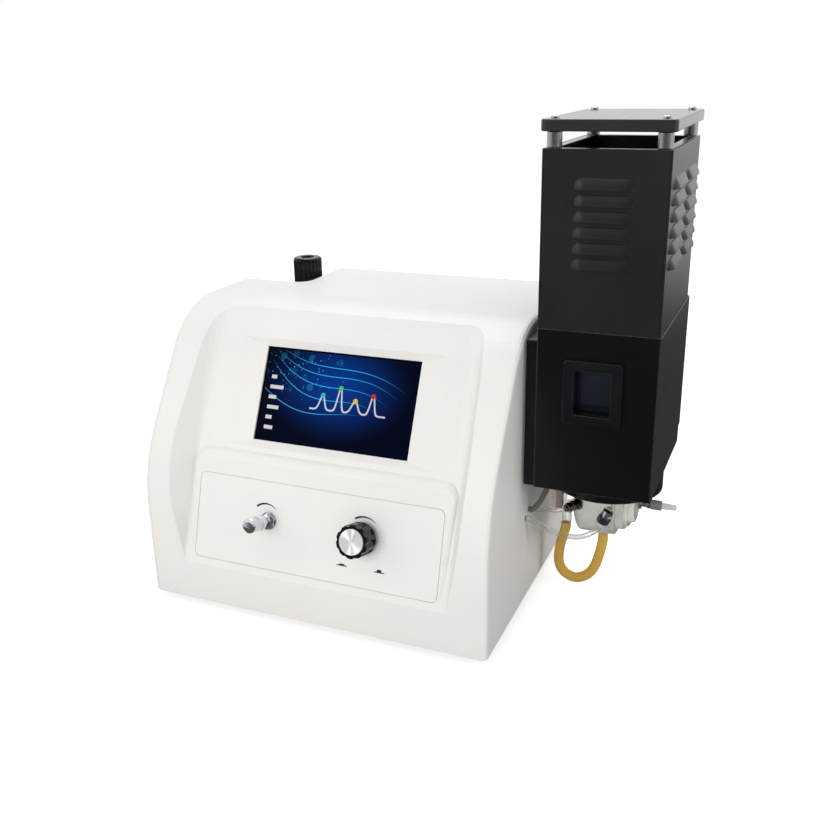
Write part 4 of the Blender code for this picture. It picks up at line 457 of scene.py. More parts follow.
# %% Dressing the solids
EDGE, CREASE = 0.0004, math.radians(32.0)
SAME_PLACE, SAME_FLAT = 0.000002, math.radians(0.3)


def rounded(obj, width, angle, miter="MITER_SHARP"):
    """Round the edges that turn by more than an angle."""
    edge = obj.modifiers.new("edge", "BEVEL")
    edge.width, edge.segments = width, 2
    edge.limit_method, edge.angle_limit = "ANGLE", angle
    edge.miter_outer = miter
    edge.harden_normals = True


def soften(obj, width):
    """Round the sharp edges of a piece without touching its mesh."""
    obj.modifiers.new("weld", "WELD").merge_threshold = SAME_PLACE
    flats = obj.modifiers.new("flats", "DECIMATE")
    flats.decimate_type, flats.angle_limit = "DISSOLVE", SAME_FLAT
    rounded(obj, width, CREASE, "MITER_ARC")


SLOT = {part["node"]: part["material_slot"] for part in frame["record"]["subparts"]}
OWN_COAT = {"chimney_rear": "chimney_coat", "chimney_rim": "shield_coat",
            "heat_shield_plate": "shield_coat"}
EDGES = {"front_cover": 0.0009, "rear_casing": 0.0006, "heat_shield_plate": 0.0005,
         "burner_box_wrapper": 0.0005}
for name, solid in nodes.items():
    slot = OWN_COAT.get(name, SLOT[name])
    for index in range(len(solid.data.materials)):
        solid.data.materials[index] = FINISH[slot]
    soften(solid, EDGES.get(name, EDGE))
print("solids dressed:", len(nodes))

# %% [markdown]
# The finer pieces are built as meshes in code. `piece` turns a mesh into an object with smooth
# faces and sharp creases, gives it a finish, puts it in place, lets it ride on the body that
# carries it, and hides the solid that it stands for. Nearly every mesh is a skin stretched over
# rings of points: rings round an axis for a turned piece, rounded outlines for a frame.

# %% Making a piece
def piece(name, bm, slot, place=None, body="instrument", stands_for=None, edge=0.0, finish=None):
    """One finished object from a bmesh whose points are in metres."""
    if not any(rim.is_boundary for rim in bm.edges):
        bmesh.ops.recalc_face_normals(bm, faces=bm.faces)
    mesh = bpy.data.meshes.new(name)
    bm.to_mesh(mesh)
    bm.free()
    mesh.shade_smooth()
    mesh.set_sharp_from_angle(angle=CREASE)
    mesh.materials.append(FINISH[finish or slot])
    obj = bpy.data.objects.new(name, mesh)
    bpy.context.scene.collection.objects.link(obj)
    if place is not None:
        obj.matrix_world = place
    if edge:
        soften(obj, edge)
    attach(obj, body)
    if stands_for:
        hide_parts(stands_for)
    return obj


def skin(bm, rings, closed=True):
    """Faces from each ring of points to the next; a ring of one point makes a tip."""
    for low, high in zip(rings, rings[1:] + (rings[:1] if closed else [])):
        steps = max(len(low), len(high))
        for step in range(steps):
            after = (step + 1) % steps
            corners = dict.fromkeys((low[step % len(low)], low[after % len(low)],
                                     high[after % len(high)], high[step % len(high)]))
            if len(corners) > 2:
                bm.faces.new(tuple(corners))


def turned(profile, steps=64, ripple=None, closed=False):
    """Turn (radius, height) points in millimetres round Z. A ripple may change each radius."""
    bm = bmesh.new()
    rings = []
    for radius, height in profile:
        ring = []
        for turn in [math.tau * step / steps for step in range(steps if radius else 1)]:
            reach = (ripple(radius, height, turn) if ripple and radius else radius) * MM
            ring.append(bm.verts.new((reach * math.cos(turn), reach * math.sin(turn),
                                      height * MM)))
        rings.append(ring)
    skin(bm, rings, closed)
    return bm


def bar(radius, low, high, steps):
    """A plain round bar along Z, in millimetres."""
    return turned([(0.0, low), (radius, low), (radius, high), (0.0, high)], steps)


def box_mesh(low, high):
    """A plain block between two corners in millimetres."""
    bm = bmesh.new()
    bmesh.ops.create_cube(bm, size=1.0)
    for vert in bm.verts:
        vert.co = [(a + (share + 0.5) * (b - a)) * MM for a, b, share in zip(low, high, vert.co)]
    return bm


def quarter(steps):
    """Angles from 0 to a quarter turn."""
    return [math.pi / 2 * step / steps for step in range(steps + 1)]


def rounded_outline(wide, tall, corner, height, middle=(0.0, 0.0), steps=8):
    """Points in metres round a rectangle with round corners, at one height."""
    line = []
    for turn, (side, rise) in enumerate(((1, 1), (-1, 1), (-1, -1), (1, -1))):
        for angle in quarter(steps):
            angle += math.pi / 2 * turn
            line.append(Vector((middle[0] + side * (wide / 2 - corner) + corner * math.cos(angle),
                                middle[1] + rise * (tall / 2 - corner) + corner * math.sin(angle),
                                height)) * MM)
    return line


def hooped(outlines):
    """A closed skin through outlines that have one number of points."""
    bm = bmesh.new()
    skin(bm, [[bm.verts.new(point) for point in outline] for outline in outlines])
    return bm


def facing(out, place, up=(0.0, 0.0, 1.0)):
    """A frame at a place: Z points out, Y points up as nearly as it can."""
    out = Vector(out).normalized()
    across = Vector(up).cross(out).normalized()
    return (Matrix.Translation(place)
            @ Matrix((across, out.cross(across), out)).transposed().to_4x4())


def pointing(way, place):
    """A frame whose Z axis points a way, for a turned piece."""
    turn = Vector(way).normalized().to_track_quat("Z", "Y")
    return Matrix.Translation(place) @ turn.to_matrix().to_4x4()


def carve(obj, bm, operation="DIFFERENCE"):
    """Cut a bmesh, made in the object's own frame, out of an object for good."""
    mesh = bpy.data.meshes.new("tool")
    bm.to_mesh(mesh)
    bm.free()
    tool = bpy.data.objects.new("tool", mesh)
    bpy.context.scene.collection.objects.link(tool)
    tool.matrix_world = obj.matrix_world
    cut = obj.modifiers.new("cut", "BOOLEAN")
    cut.object, cut.operation, cut.solver = tool, operation, "EXACT"
    bpy.context.view_layer.update()
    done = obj.evaluated_get(bpy.context.evaluated_depsgraph_get())
    solid = bpy.data.meshes.new_from_object(done)
    obj.modifiers.remove(cut)
    old, obj.data = obj.data, solid
    bpy.data.meshes.remove(old)
    bpy.data.objects.remove(tool)
    obj.data.set_sharp_from_angle(angle=CREASE)


print("piece tools ready")

# %% [markdown]
# The chimney's louvres are pressed, not cut out: a punch slits the sheet along one line and
# pushes the metal above the slit into a smooth hood. The wall here is one grid of points with
# a height for each, so hood and sheet are one skin; the faces under each lip are left out,
# which opens the slot, and a Solidify modifier gives the sheet its thickness.

# %% Louvred chimney walls
FLUE_LEFT, FLUE_RIGHT = 351.8, 452.3
FLUE_FRONT, FLUE_BACK = 92.2, 247.0
FLUE_LOW, FLUE_TOP = 269.8, 414.4
FLUE_SHEET, FRONT_PLAY = 1.5, 0.3                    # the sheet, and room beside the front wall
HOOD_HIGH, HOOD_OUT, HOOD_PITCH, HOOD_ROWS = 8.8, 4.2, 12.5, 6
HOOD_TOP, HOOD_ROUND = 392.5, 0.55                   # HOOD_ROUND: how much of a bar's roundness
HOOD_SLOT, HOOD_EASE, SLIT = 0.35, 0.3, 0.06         # open slot, bend round a hood, least opening
FRONT_HOOD, SIDE_HOOD, SIDE_PITCH = 48.0, 59.0, 69.0
END_STEPS, RISE_STEPS = 8, 9


def hood_height(across, above, half):
    """How far a hood stands out, as a share, at millimetres across its middle and above its lip.

    Each hood is a quarter of a round bar whose ends are quarters of a ball."""
    if not 0.0 <= above <= HOOD_HIGH or abs(across) >= half:
        return 0.0
    end = max(0.0, abs(across) - (half - HOOD_HIGH))
    reach = math.hypot(end, above) / HOOD_HIGH
    if reach >= 1.0:
        return 0.0
    return (HOOD_ROUND * math.sqrt(1.0 - reach ** 2)
            + (1.0 - HOOD_ROUND) * (1.0 + math.cos(math.pi * reach)) / 2)


def louvred_wall(width, centres, length):
    """A wall as a grid in metres, X across and Y up, with rows of hoods pressed out along Z."""
    xs, ys, lips = [-width / 2, width / 2], [FLUE_LOW, FLUE_TOP], []
    reach = length / 2
    half_line = [reach - HOOD_HIGH * (1.0 - math.sin(turn)) for turn in quarter(END_STEPS)]
    half_line += [reach + HOOD_EASE, (reach - HOOD_HIGH) / 2]
    for centre in centres:
        xs += [centre + side * x for side in (-1.0, 1.0) for x in half_line] + [centre]
    for row in range(HOOD_ROWS):
        top = HOOD_TOP - row * HOOD_PITCH
        lip = top - HOOD_HIGH
        ys += [top - HOOD_HIGH * (1 - math.cos(turn)) for turn in quarter(RISE_STEPS)]
        ys += [lip - HOOD_SLOT, lip - HOOD_SLOT - HOOD_EASE, top + HOOD_EASE]
        lips.append(lip)
    xs, ys = sorted(set(xs)), sorted(set(ys))
    bm = bmesh.new()
    grid = []
    for y in ys:
        heights = [max(hood_height(x - centre, y - lip, reach) for centre in centres
                       for lip in lips) for x in xs]
        grid.append([bm.verts.new((x * MM, y * MM, out * HOOD_OUT * MM))
                     for x, out in zip(xs, heights)])
    for y, low_row, high_row in zip(ys[1:], grid, grid[1:]):
        for i in range(len(xs) - 1):
            lower, upper = low_row[i:i + 2], high_row[i:i + 2]
            step_up = max(v.co.z for v in upper) - max(v.co.z for v in lower)
            if y not in lips or step_up <= HOOD_OUT * MM * SLIT:
                bm.faces.new(lower + upper[::-1])
    return bm


def chimney_wall(name, bm, place):
    """One wall from its grid: the sheet gets its thickness and a fine edge."""
    wall = piece(name, bm, "black_powder_coat", place, stands_for=name, finish="chimney_coat")
    sheet = wall.modifiers.new("sheet", "SOLIDIFY")
    sheet.thickness, sheet.offset = FLUE_SHEET * MM, -1.0
    sheet.use_even_offset = True
    rounded(wall, EDGE, math.radians(55.0))


flue_mid = (FLUE_LEFT + FLUE_RIGHT) / 2
flue_deep = (FLUE_FRONT + FLUE_BACK) / 2
front_wide = FLUE_RIGHT - FLUE_LEFT - (FLUE_SHEET + FRONT_PLAY) * 2
chimney_wall("chimney_front", louvred_wall(front_wide, [0.0], FRONT_HOOD),
             facing((0, -1, 0), bench(flue_mid, FLUE_FRONT, 0.0)))
for name, x, out in (("chimney_left", FLUE_LEFT, -1.0), ("chimney_right", FLUE_RIGHT, 1.0)):
    wall = louvred_wall(FLUE_BACK - FLUE_FRONT, [-SIDE_PITCH / 2, SIDE_PITCH / 2], SIDE_HOOD)
    chimney_wall(name, wall, facing((out, 0, 0), bench(x, flue_deep, 0.0)))
FLANGE, FLANGE_T, SEAT = 7.5, 1.0, 0.05
rear_inside = FLUE_BACK - FLUE_SHEET - SEAT
left_inside, right_inside = FLUE_LEFT + FLUE_SHEET, FLUE_RIGHT - FLUE_SHEET
for name, near, far in (
        ("chimney_flange_left", left_inside + SEAT, left_inside + FLANGE),
        ("chimney_flange_right", right_inside - FLANGE, right_inside - SEAT)):
    piece(name, box_mesh((near, rear_inside - FLANGE_T, FLUE_LOW + FLANGE_T),
                         (far, rear_inside, FLUE_TOP - FLANGE_T)),
          "black_powder_coat", Matrix.Translation(bench(0.0, 0.0, 0.0)), finish="chimney_coat")
print("louvred walls: 3, hoods:", HOOD_ROWS * 5)

# %% [markdown]
# The window's frame is a moulding with a broad, softly rounded outer edge. Behind it stands a
# short black collar that holds the sight glass away from the hot sheet, so from the front the
# glass lies deep and its left and lower sides are shaded.

# %% Window frame, collar and glass
WINDOW_X, WINDOW_Z, HOLE_W, HOLE_H, HOLE_CORNER = 400.3, 217.5, 31.0, 38.6, 1.2
GLASS_BACK, COLLAR_FRONT, COLLAR_BACK, COLLAR_T = 103.4, 92.6, 103.2, 1.0
BEZEL_BACK, BEZEL_W, BEZEL_H, BEZEL_CORNER, BEZEL_T = 91.9, 50.0, 56.0, 4.0, 4.0
PLAY = 0.2                # room between the collar's bore and the hole

outside = [rounded_outline(BEZEL_W - shrink * 2, BEZEL_H - shrink * 2,
                           BEZEL_CORNER - shrink * 0.6, BEZEL_T - back)
           for shrink, back in ((0.0, BEZEL_T), (0.0, 1.0), (0.15, 0.45), (0.5, 0.12), (1.0, 0.0))]
inside = [rounded_outline(HOLE_W + grow * 2, HOLE_H + grow * 2, HOLE_CORNER + grow, BEZEL_T - back)
          for grow, back in ((0.8, 0.0), (0.3, 0.1), (0.0, 0.5), (0.0, BEZEL_T))]
piece("window_frame", hooped(outside + inside), "black_plastic",
      facing((0, -1, 0), bench(WINDOW_X, BEZEL_BACK, WINDOW_Z)), stands_for="window_bezel")


def window_block(grow, front, back):
    """A block behind the window, as wide as its hole and grown on every side."""
    half_w, half_h = HOLE_W / 2 + grow, HOLE_H / 2 + grow
    return box_mesh((-half_w, -half_h, -back), (half_w, half_h, -front))


window_place = facing((0, -1, 0), bench(WINDOW_X, 0.0, WINDOW_Z))
collar = piece("window_collar", window_block(COLLAR_T, COLLAR_FRONT, COLLAR_BACK), "black_plastic",
               window_place)
carve(collar, window_block(-PLAY, COLLAR_FRONT - 2.0, COLLAR_BACK + 2.0))
piece("sight_glass_set_back", window_block(COLLAR_T, GLASS_BACK, GLASS_BACK + 3.0), "sight_glass",
      window_place, stands_for="sight_glass", edge=0.3 * MM)
print("window depth:", GLASS_BACK - FLUE_FRONT, "mm")

# %% [markdown]
# Four posts of turned steel carry the heat shield, and a pan-head screw comes down through the
# plate into each. The cross recess is a second, plain shape cut out of the head with a Boolean.

# %% Posts and screws
POST_LOW, POST_TOP, PLATE_TOP = 414.7, 426.9, 436.9
POST_R, SCREW_R, PAN_R, PAN_H = 6.0, 2.2, 3.6, 2.4
CROSS_REACH, CROSS_HALF, CROSS_FLOOR, CROSS_OVER = 2.1, 0.45, 0.9, 4.0
DOMING = 2.2              # how full the pan head is
post_profile = [(0, POST_LOW), (POST_R - 0.5, POST_LOW), (POST_R, POST_LOW + 0.5),
                (POST_R, POST_TOP - 0.5), (POST_R - 0.5, POST_TOP), (SCREW_R, POST_TOP),
                (SCREW_R, PLATE_TOP), (PAN_R, PLATE_TOP)]
post_profile += [(PAN_R * math.sqrt(1.0 - share ** DOMING), PLATE_TOP + PAN_H * share)
                 for share in (0.25, 0.5, 0.72, 0.88, 0.97, 1.0)]
for where, x, y in (("front_left", 359.3, 100.7), ("front_right", 444.8, 100.7),
                    ("rear_left", 359.3, 238.5), ("rear_right", 444.8, 238.5)):
    post = piece("post_" + where, turned(post_profile, 40), "base_steel",
                 Matrix.Translation(bench(x, y, 0.0)), stands_for="post_" + where)
    turn = 31.0 * (x + y) % 90.0        # each screw stops where it is tight
    for arm in (turn, turn + 90.0):
        blade = box_mesh((-CROSS_REACH, -CROSS_HALF, PLATE_TOP + CROSS_FLOOR),
                         (CROSS_REACH, CROSS_HALF, PLATE_TOP + CROSS_OVER))
        bmesh.ops.rotate(blade, verts=blade.verts,
                         matrix=Matrix.Rotation(math.radians(arm), 3, "Z"))
        carve(post, blade)
print("posts with screws: 4")

# %% [markdown]
# Both knobs stand square to the tilted console, so one function gives the frame that they
# share: X across the panel, Y up its slope, Z out of it. Hexagon nuts are turned pieces whose
# radius follows the flats; where a cone is smaller than the flats, it leaves the curved
# chamfers that every real nut has.

# %% Console frame and hexagons
TILT = math.radians(17.0)
CONSOLE_FOOT, KNOB_LINE = 37.5, 53.0
SLOPE = Vector((0.0, math.sin(TILT), math.cos(TILT)))
NUT_END, NUT_CONE = 1.02, 2.5        # a nut's face over its flats, and its chamfer's steepness


def on_console(x, up):
    """A frame on the console's face, x and up in millimetres."""
    place = bench(x, 0.0, CONSOLE_FOOT) + SLOPE * up * MM
    return Matrix.Translation(place) @ Matrix.Rotation(math.pi / 2 - TILT, 4, "X")


def hexagonal(flats, low, high):
    """A ripple that gives a turned piece six flats and chamfered ends."""
    def ripple(radius, height, turn):
        if radius < flats / 2:
            return radius
        flat = flats / 2 / math.cos((turn + math.pi / 6) % (math.pi / 3) - math.pi / 6)
        return min(flat, flats / 2 * NUT_END + min(height - low, high - height) * NUT_CONE)
    return ripple


def nut(name, flats, bore, low, high, slot, place, stands_for=None):
    """A hexagon nut between two heights along its own axis."""
    profile = [(flats, low + (high - low) * share)
               for share in (0.0, 0.06, 0.12, 0.2, 0.5, 0.8, 0.88, 0.94, 1.0)]
    bm = turned([(bore, low), *profile, (bore, high)], 96, hexagonal(flats, low, high),
                closed=True)
    return piece(name, bm, slot, place, stands_for=stands_for)


fine_place = on_console(125.5, KNOB_LINE)
gas_place = on_console(221.0, KNOB_LINE)
print("console knobs at", [round(v, 4) for v in fine_place.translation])

# %% [markdown]
# The fine adjuster is a chromed needle valve: a hexagon nut clamps it to the panel, a smooth
# neck comes out of it, and the knob is a small turned cylinder with a broad chamfer. All are
# profiles turned round the valve's axis. Tiny rounds at the corners catch the light.

# %% Fine adjuster
valve_profile = [(0.0, -37.0), (2.8, -37.0), (2.8, 11.4), (3.9, 11.5), (4.2, 11.2), (4.2, 4.2),
                 (4.6, 3.9), (6.0, 3.7), (6.3, 3.5), (6.3, 0.3), (5.0, 0.3), (5.0, -21.0),
                 (9.0, -21.0), (9.0, -45.0), (0.0, -45.0)]
piece("fine_valve_bush", turned(valve_profile), "chrome", fine_place, stands_for="fine_valve")
nut("fine_valve_nut", 14.0, 6.35, 0.9, 3.6, "chrome", fine_place)
washer = [(6.35, 0.3), (8.0, 0.3), (8.2, 0.5), (8.0, 0.85), (6.35, 0.85)]
piece("fine_valve_washer", turned(washer, closed=True), "chrome", fine_place)
knob_profile = [(0.0, 36.9), (3.7, 36.9), (4.1, 36.8), (4.5, 36.5), (6.5, 34.3), (6.75, 33.9),
                (6.8, 33.4), (6.8, 20.6), (6.7, 20.4), (6.55, 20.3), (6.55, 19.7), (6.7, 19.6),
                (6.8, 19.4), (6.8, 15.6), (6.6, 14.9), (6.1, 14.6), (4.9, 14.5), (4.9, 11.9),
                (2.5, 11.8), (2.5, -21.0), (0.0, -21.0)]
piece("fine_adjust_knob_turned", turned(knob_profile, 72), "chrome", fine_place, "fine_knob",
      "fine_adjust_knob")
print("fine adjuster: 4 pieces")

# %% [markdown]
# The gas knob is moulded in glossy black with ten finger flutes, and a spun aluminium disc is
# pressed into its face. Each flute is the bite of a round cutter, so the radius at any angle is
# the nearer of the knob's own circle and the cutter's. The disc's finish carries painted
# highlights: pairs of bright wedges like those that spun metal shows under lamps.

# %% Gas knob
KNOB_R, RIM_R, KNOB_BACK = 15.0, 13.6, 5.0
LOBES, CUTTER_R, BITE = 10, 3.2, 1.5
LANE = KNOB_R + CUTTER_R - BITE              # where the cutter's middle runs
FLUTE_FROM, FLUTE_EASE = KNOB_BACK + 1.6, 1.4


def fluted(radius, height, turn):
    """Radius of the gas knob where cutters have bitten its side."""
    if radius < RIM_R - 0.5 or height < FLUTE_FROM:
        return radius
    off = (turn + math.pi / LOBES) % (math.tau / LOBES) - math.pi / LOBES
    reach = CUTTER_R ** 2 - (LANE * math.sin(off)) ** 2
    if reach <= 0.0:
        return radius
    bite = LANE * math.cos(off) - math.sqrt(reach)
    fade = min((height - FLUTE_FROM) / FLUTE_EASE, 1.0)
    return min(radius, radius + (bite - radius) * fade * (2.0 - fade))


gas_profile = [(0.0, 22.0), (3.3, 22.0), (3.3, 9.3), (8.3, 9.3), (8.3, KNOB_BACK),
               (RIM_R, KNOB_BACK), (14.4, 5.4), (14.9, 6.0), (KNOB_R, 6.6)]
gas_profile += [(KNOB_R, height) for height in (7.0, 7.4, 7.8, 8.2, 12.0, 17.0, 23.0)]
gas_profile += [(14.93, 23.7), (14.7, 24.3), (14.3, 24.75), (13.8, 25.0), (12.2, 25.0),
                (11.9, 24.9), (11.7, 24.6), (11.7, 23.8), (0.0, 23.8)]
piece("gas_valve_knob_fluted", turned(gas_profile, 240, fluted), "knob_plastic", gas_place,
      "gas_knob", "gas_valve_knob")
cap_profile = [(0.0, 24.1), (11.35, 24.1), (11.4, 24.9), (11.25, 25.35), (10.95, 25.55),
               (10.6, 25.5), (10.4, 25.3), (0.9, 25.2), (0.6, 25.1), (0.0, 25.05)]
piece("gas_knob_cap_spun", turned(cap_profile, 120), "spun_aluminium", gas_place, "gas_knob",
      "gas_knob_cap")
print("gas knob: lobes", LOBES)

# %% [markdown]
# A pale bead of sealant fills most of the narrow gap round the knob panel, a little below its
# face, so the gap reads as a soft groove and not as a black line. It is one skin through four
# outlines of the panel, two low and two high.

# %% Sealant round the panel
PANEL_WIDE, PANEL_TALL, PANEL_CORNER, PANEL_MIDDLE = 244.0, 80.0, 5.0, (172.0, 48.6)
BEAD_IN, BEAD_OUT, BEAD_LOW, BEAD_HIGH = 0.06, 0.44, -1.2, -0.8
bead = [rounded_outline(PANEL_WIDE + grow * 2, PANEL_TALL + grow * 2, PANEL_CORNER + grow, height,
                        PANEL_MIDDLE)
        for grow, height in ((BEAD_IN, BEAD_LOW), (BEAD_OUT, BEAD_LOW), (BEAD_OUT, BEAD_HIGH),
                             (BEAD_IN, BEAD_HIGH))]
piece("panel_sealant", hooped(bead), "white_casing", on_console(0.0, 0.0))
print("sealant points:", len(bead[0]) * 4)

# %% [markdown]
# The panel is printed in dark ink: an arc that thins towards its end shows which way each knob
# turns, and two small signs show the gas knob pushed in and let out. Each is cut as an outline
# and laid a twentieth of a millimetre over the panel.

# %% Printed marks
ink, ink_shader = start_finish("ink", (0.022, 0.018, 0.024), 0.5, Specular_IOR_Level=0.3)
ink_tone = use_effect(ink, drift_tree, Colour=(0.018, 0.014, 0.022, 1.0),
                      Other=(0.035, 0.03, 0.035, 1.0), Scale=700.0)["Colour"]
link(ink, ink_tone, ink_shader.inputs["Base Color"])
INK_LOW, INK_HIGH = 0.02, 0.06
ARC_STEPS, ARC_THIN = 24, 0.35
SIGN_FOOT, SIGN_BAR, SIGN_HALF, SIGN_SLOPE = 24.7, 0.9, 5.0, 0.5


def printed(name, outlines):
    """Flat marks on the panel, each an outline of (x, up) millimetres."""
    bm = bmesh.new()
    for outline in outlines:
        low, high = [[bm.verts.new((x * MM, y * MM, z * MM)) for x, y in outline]
                     for z in (INK_LOW, INK_HIGH)]
        bm.faces.new(low[::-1])
        bm.faces.new(high)
        skin(bm, [low, high], closed=False)
    piece(name, bm, "black_plastic", on_console(0.0, 0.0), finish="ink")


def turn_arc(left, top, right, thick):
    """Outline of an arc through three points that thins from left to right."""
    (x1, y1), (x2, y2), (x3, y3) = left, top, right
    s1, s2, s3 = x1 ** 2 + y1 ** 2, x2 ** 2 + y2 ** 2, x3 ** 2 + y3 ** 2
    d = 2 * (x1 * (y2 - y3) + x2 * (y3 - y1) + x3 * (y1 - y2))
    cx = (s1 * (y2 - y3) + s2 * (y3 - y1) + s3 * (y1 - y2)) / d
    cy = (s1 * (x3 - x2) + s2 * (x1 - x3) + s3 * (x2 - x1)) / d
    radius = math.hypot(x1 - cx, y1 - cy)
    start, stop = math.atan2(y1 - cy, x1 - cx), math.atan2(y3 - cy, x3 - cx)
    upper, lower = [], []
    for share in [step / ARC_STEPS for step in range(ARC_STEPS + 1)]:
        turn = start + (stop - start) * share
        half = (thick + (ARC_THIN - thick) * share ** 1.5) / 2
        for line, reach in ((upper, radius + half), (lower, radius - half)):
            line.append((cx + reach * math.cos(turn), cy + reach * math.sin(turn)))
    return upper + lower[::-1]


printed("mark_fine_arc", [turn_arc((112.2, 64.5), (121.2, 68.2), (132.2, 64.3), 1.9)])
printed("mark_gas_arc", [turn_arc((211.6, 68.7), (220.0, 71.4), (231.6, 67.3), 1.8)])
for name, x, half, tall in (("mark_pushed_in", 202.7, 2.3, 1.1),
                            ("mark_let_out", 238.9, 1.9, 2.0)):
    shelf = SIGN_FOOT + SIGN_BAR
    line = [(x - SIGN_HALF, SIGN_FOOT), (x + SIGN_HALF, SIGN_FOOT), (x + SIGN_HALF, shelf),
            (x - SIGN_HALF, shelf)]
    button = [(x - half - SIGN_SLOPE, shelf), (x + half + SIGN_SLOPE, shelf),
              (x + half, shelf + tall), (x - half, shelf + tall)]
    printed(name, [line, button])
print("printed marks: 4")

# %% [markdown]
# The touch screen shows a made-up start picture: a blue glow, thin lines of light that flow
# across it, soft discs, and a pale spectrum whose peaks wear coloured dots. It is all sums on
# the millimetres across and up the glass, and it shines by itself as a panel does. This first
# effect draws one line of even thickness along any curve.

# %% Effect: a curve of light
line_tree, line_in, line_out = new_effect(
    "light_line", {"Off": ("Float", 0.0), "Slope": ("Float", 0.0), "Half": ("Float", 0.3)},
    {"Mask": "Float"})
line_steep = calc(line_tree, "SQRT", calc(line_tree, "MULTIPLY_ADD", line_in["Slope"],
                                          line_in["Slope"], 1.0))
line_far = calc(line_tree, "DIVIDE", calc(line_tree, "ABSOLUTE", line_in["Off"]), line_steep)
line_share = calc(line_tree, "DIVIDE", line_far, line_in["Half"])
link(line_tree, ramp(line_tree, line_share, 1.35, 0.65), line_out["Mask"])
print("effect:", line_tree.name)

# %% [markdown]
# The picture is painted in layers, like a poster: each layer is a mask, and `laid_on` lays one
# colour on what is already there wherever the mask is white. First come the sums that the
# layers share, and the ground, which is navy with a soft blue glow left of its middle.

# %% Effect: start picture
NAVY, GLOW = (0.0002, 0.0010, 0.0095, 1.0), (0.0003, 0.036, 0.24, 1.0)
CYAN, PALE, BLACK = (0.03, 0.50, 0.85, 1.0), (0.62, 0.64, 0.66, 1.0), (0.0, 0.0, 0.0, 1.0)
picture_tree, picture_in, picture_out = new_effect(
    "start_picture", {"Place": ("Vector", (0.0, 0.0, 0.0))}, {"Colour": "Color"})


def work(operation, *values):
    """A sum in the picture's own tree."""
    return calc(picture_tree, operation, *values)


def product(first, *others):
    """Sockets or numbers multiplied together."""
    for other in others:
        first = work("MULTIPLY", first, other)
    return first


def within(value, low, high):
    """1 where a value lies between two limits."""
    return product(work("GREATER_THAN", value, low), work("LESS_THAN", value, high))


def far_from(x, y, wide=1.0, tall=1.0):
    """Distance from a place on the glass, squashed to an ellipse."""
    dx = work("DIVIDE", work("SUBTRACT", across, x), wide)
    dy = work("DIVIDE", work("SUBTRACT", height, y), tall)
    return work("SQRT", work("MULTIPLY_ADD", dx, dx, product(dy, dy)))


def fades(value, full, gone):
    """1 where a value is at full, 0 where it is gone."""
    return ramp(picture_tree, value, gone, full)


def laid_on(paint, mask, colour):
    return blended(picture_tree, mask, paint, colour)


glass = axes(picture_tree, picture_in["Place"])
across, height = [work("DIVIDE", glass[name], MM) for name in ("X", "Y")]
paint = laid_on(NAVY, fades(far_from(-2.0, 13.0, 80.0, 56.0), 0.0, 0.98), GLOW)
print("picture ground:", len(picture_tree.nodes), "nodes")

# %% [markdown]
# Five flowing lines cross the ground. Each is a gentle wave on a slope, and the line's own slope
# goes into the effect above, so its thickness stays even. Small discs come from a cell pattern:
# a disc sits round each cell's middle, and chance decides how brightly it shines. Lines and
# discs are brightest toward the left and fade away from there.

# %% Effect: start picture, lines and discs
WAVES, LINE_HALF, TRACE_HALF = 0.035, 0.3, 0.75
swing = product(across, WAVES)
for bend, rise, tilt in ((9.0, 30.0, -0.34), (12.0, 22.0, -0.42), (15.0, 12.0, -0.52),
                         (18.0, 0.0, -0.6), (12.0, -12.0, -0.3)):
    course = work("ADD", product(work("SINE", swing), bend),
                  work("MULTIPLY_ADD", across, tilt, rise))
    slope = work("MULTIPLY_ADD", work("COSINE", swing), bend * WAVES, tilt)
    flow = use_effect(picture_tree, line_tree, Off=work("SUBTRACT", height, course), Slope=slope,
                      Half=LINE_HALF)["Mask"]
    lit = fades(far_from(-30.0 + rise, rise, 70.0, 40.0), 0.1, 1.1)
    paint = laid_on(paint, product(flow, lit), CYAN)
for scale, size, shine, least in ((70.0, 0.26, 0.22, 0.35), (230.0, 0.16, 0.8, 0.5)):
    cells = add(picture_tree, "ShaderNodeTexVoronoi",
                {"Vector": picture_in["Place"], "Scale": scale}, voronoi_dimensions="2D").outputs
    disc = fades(cells["Distance"], size * 0.8, size)
    chance = fades(axes(picture_tree, cells["Color"])["X"], 1.0, least)
    near = fades(far_from(-38.0, 24.0, 62.0, 34.0), 0.2, 1.0)
    paint = laid_on(paint, product(disc, chance, near, shine), CYAN)
print("with lines and discs:", len(picture_tree.nodes), "nodes")

# %% [markdown]
# On top lies a spectrum: one line that swells into four peaks, each a bell curve, with a dot of
# its own colour over each peak. A column of short bars stands at the left edge. Last of all the
# picture is cut to its frame, and beyond it the glass stays black.

# %% Effect: start picture, spectrum and bars
PEAKS = ((-14.0, 13.0, 3.4, (0.03, 0.45, 0.55, 1.0)), (3.0, 21.0, 2.8, (0.09, 0.50, 0.07, 1.0)),
         (19.0, 11.0, 4.2, (0.72, 0.52, 0.03, 1.0)), (36.0, 17.0, 3.0, (0.62, 0.02, 0.03, 1.0)))
BASE_LINE, TRACE_FROM, TRACE_TO = -9.0, -26.0, 50.0
BAR_LEFT, BAR_FOOT, BAR_PITCH, BAR_TALL = -70.0, -33.0, 9.5, 3.4
curve, slope = BASE_LINE, 0.0
for centre, tall, wide, colour in PEAKS:
    off = work("DIVIDE", work("SUBTRACT", across, centre), wide)
    swell = product(work("POWER", math.e, product(off, off, -1.0)), tall)
    curve = work("ADD", swell, curve)
    slope = work("ADD", slope, product(swell, off, -2.0 / wide))
trace = use_effect(picture_tree, line_tree, Off=work("SUBTRACT", height, curve), Slope=slope,
                   Half=TRACE_HALF)["Mask"]
paint = laid_on(paint, product(trace, within(across, TRACE_FROM, TRACE_TO)), PALE)
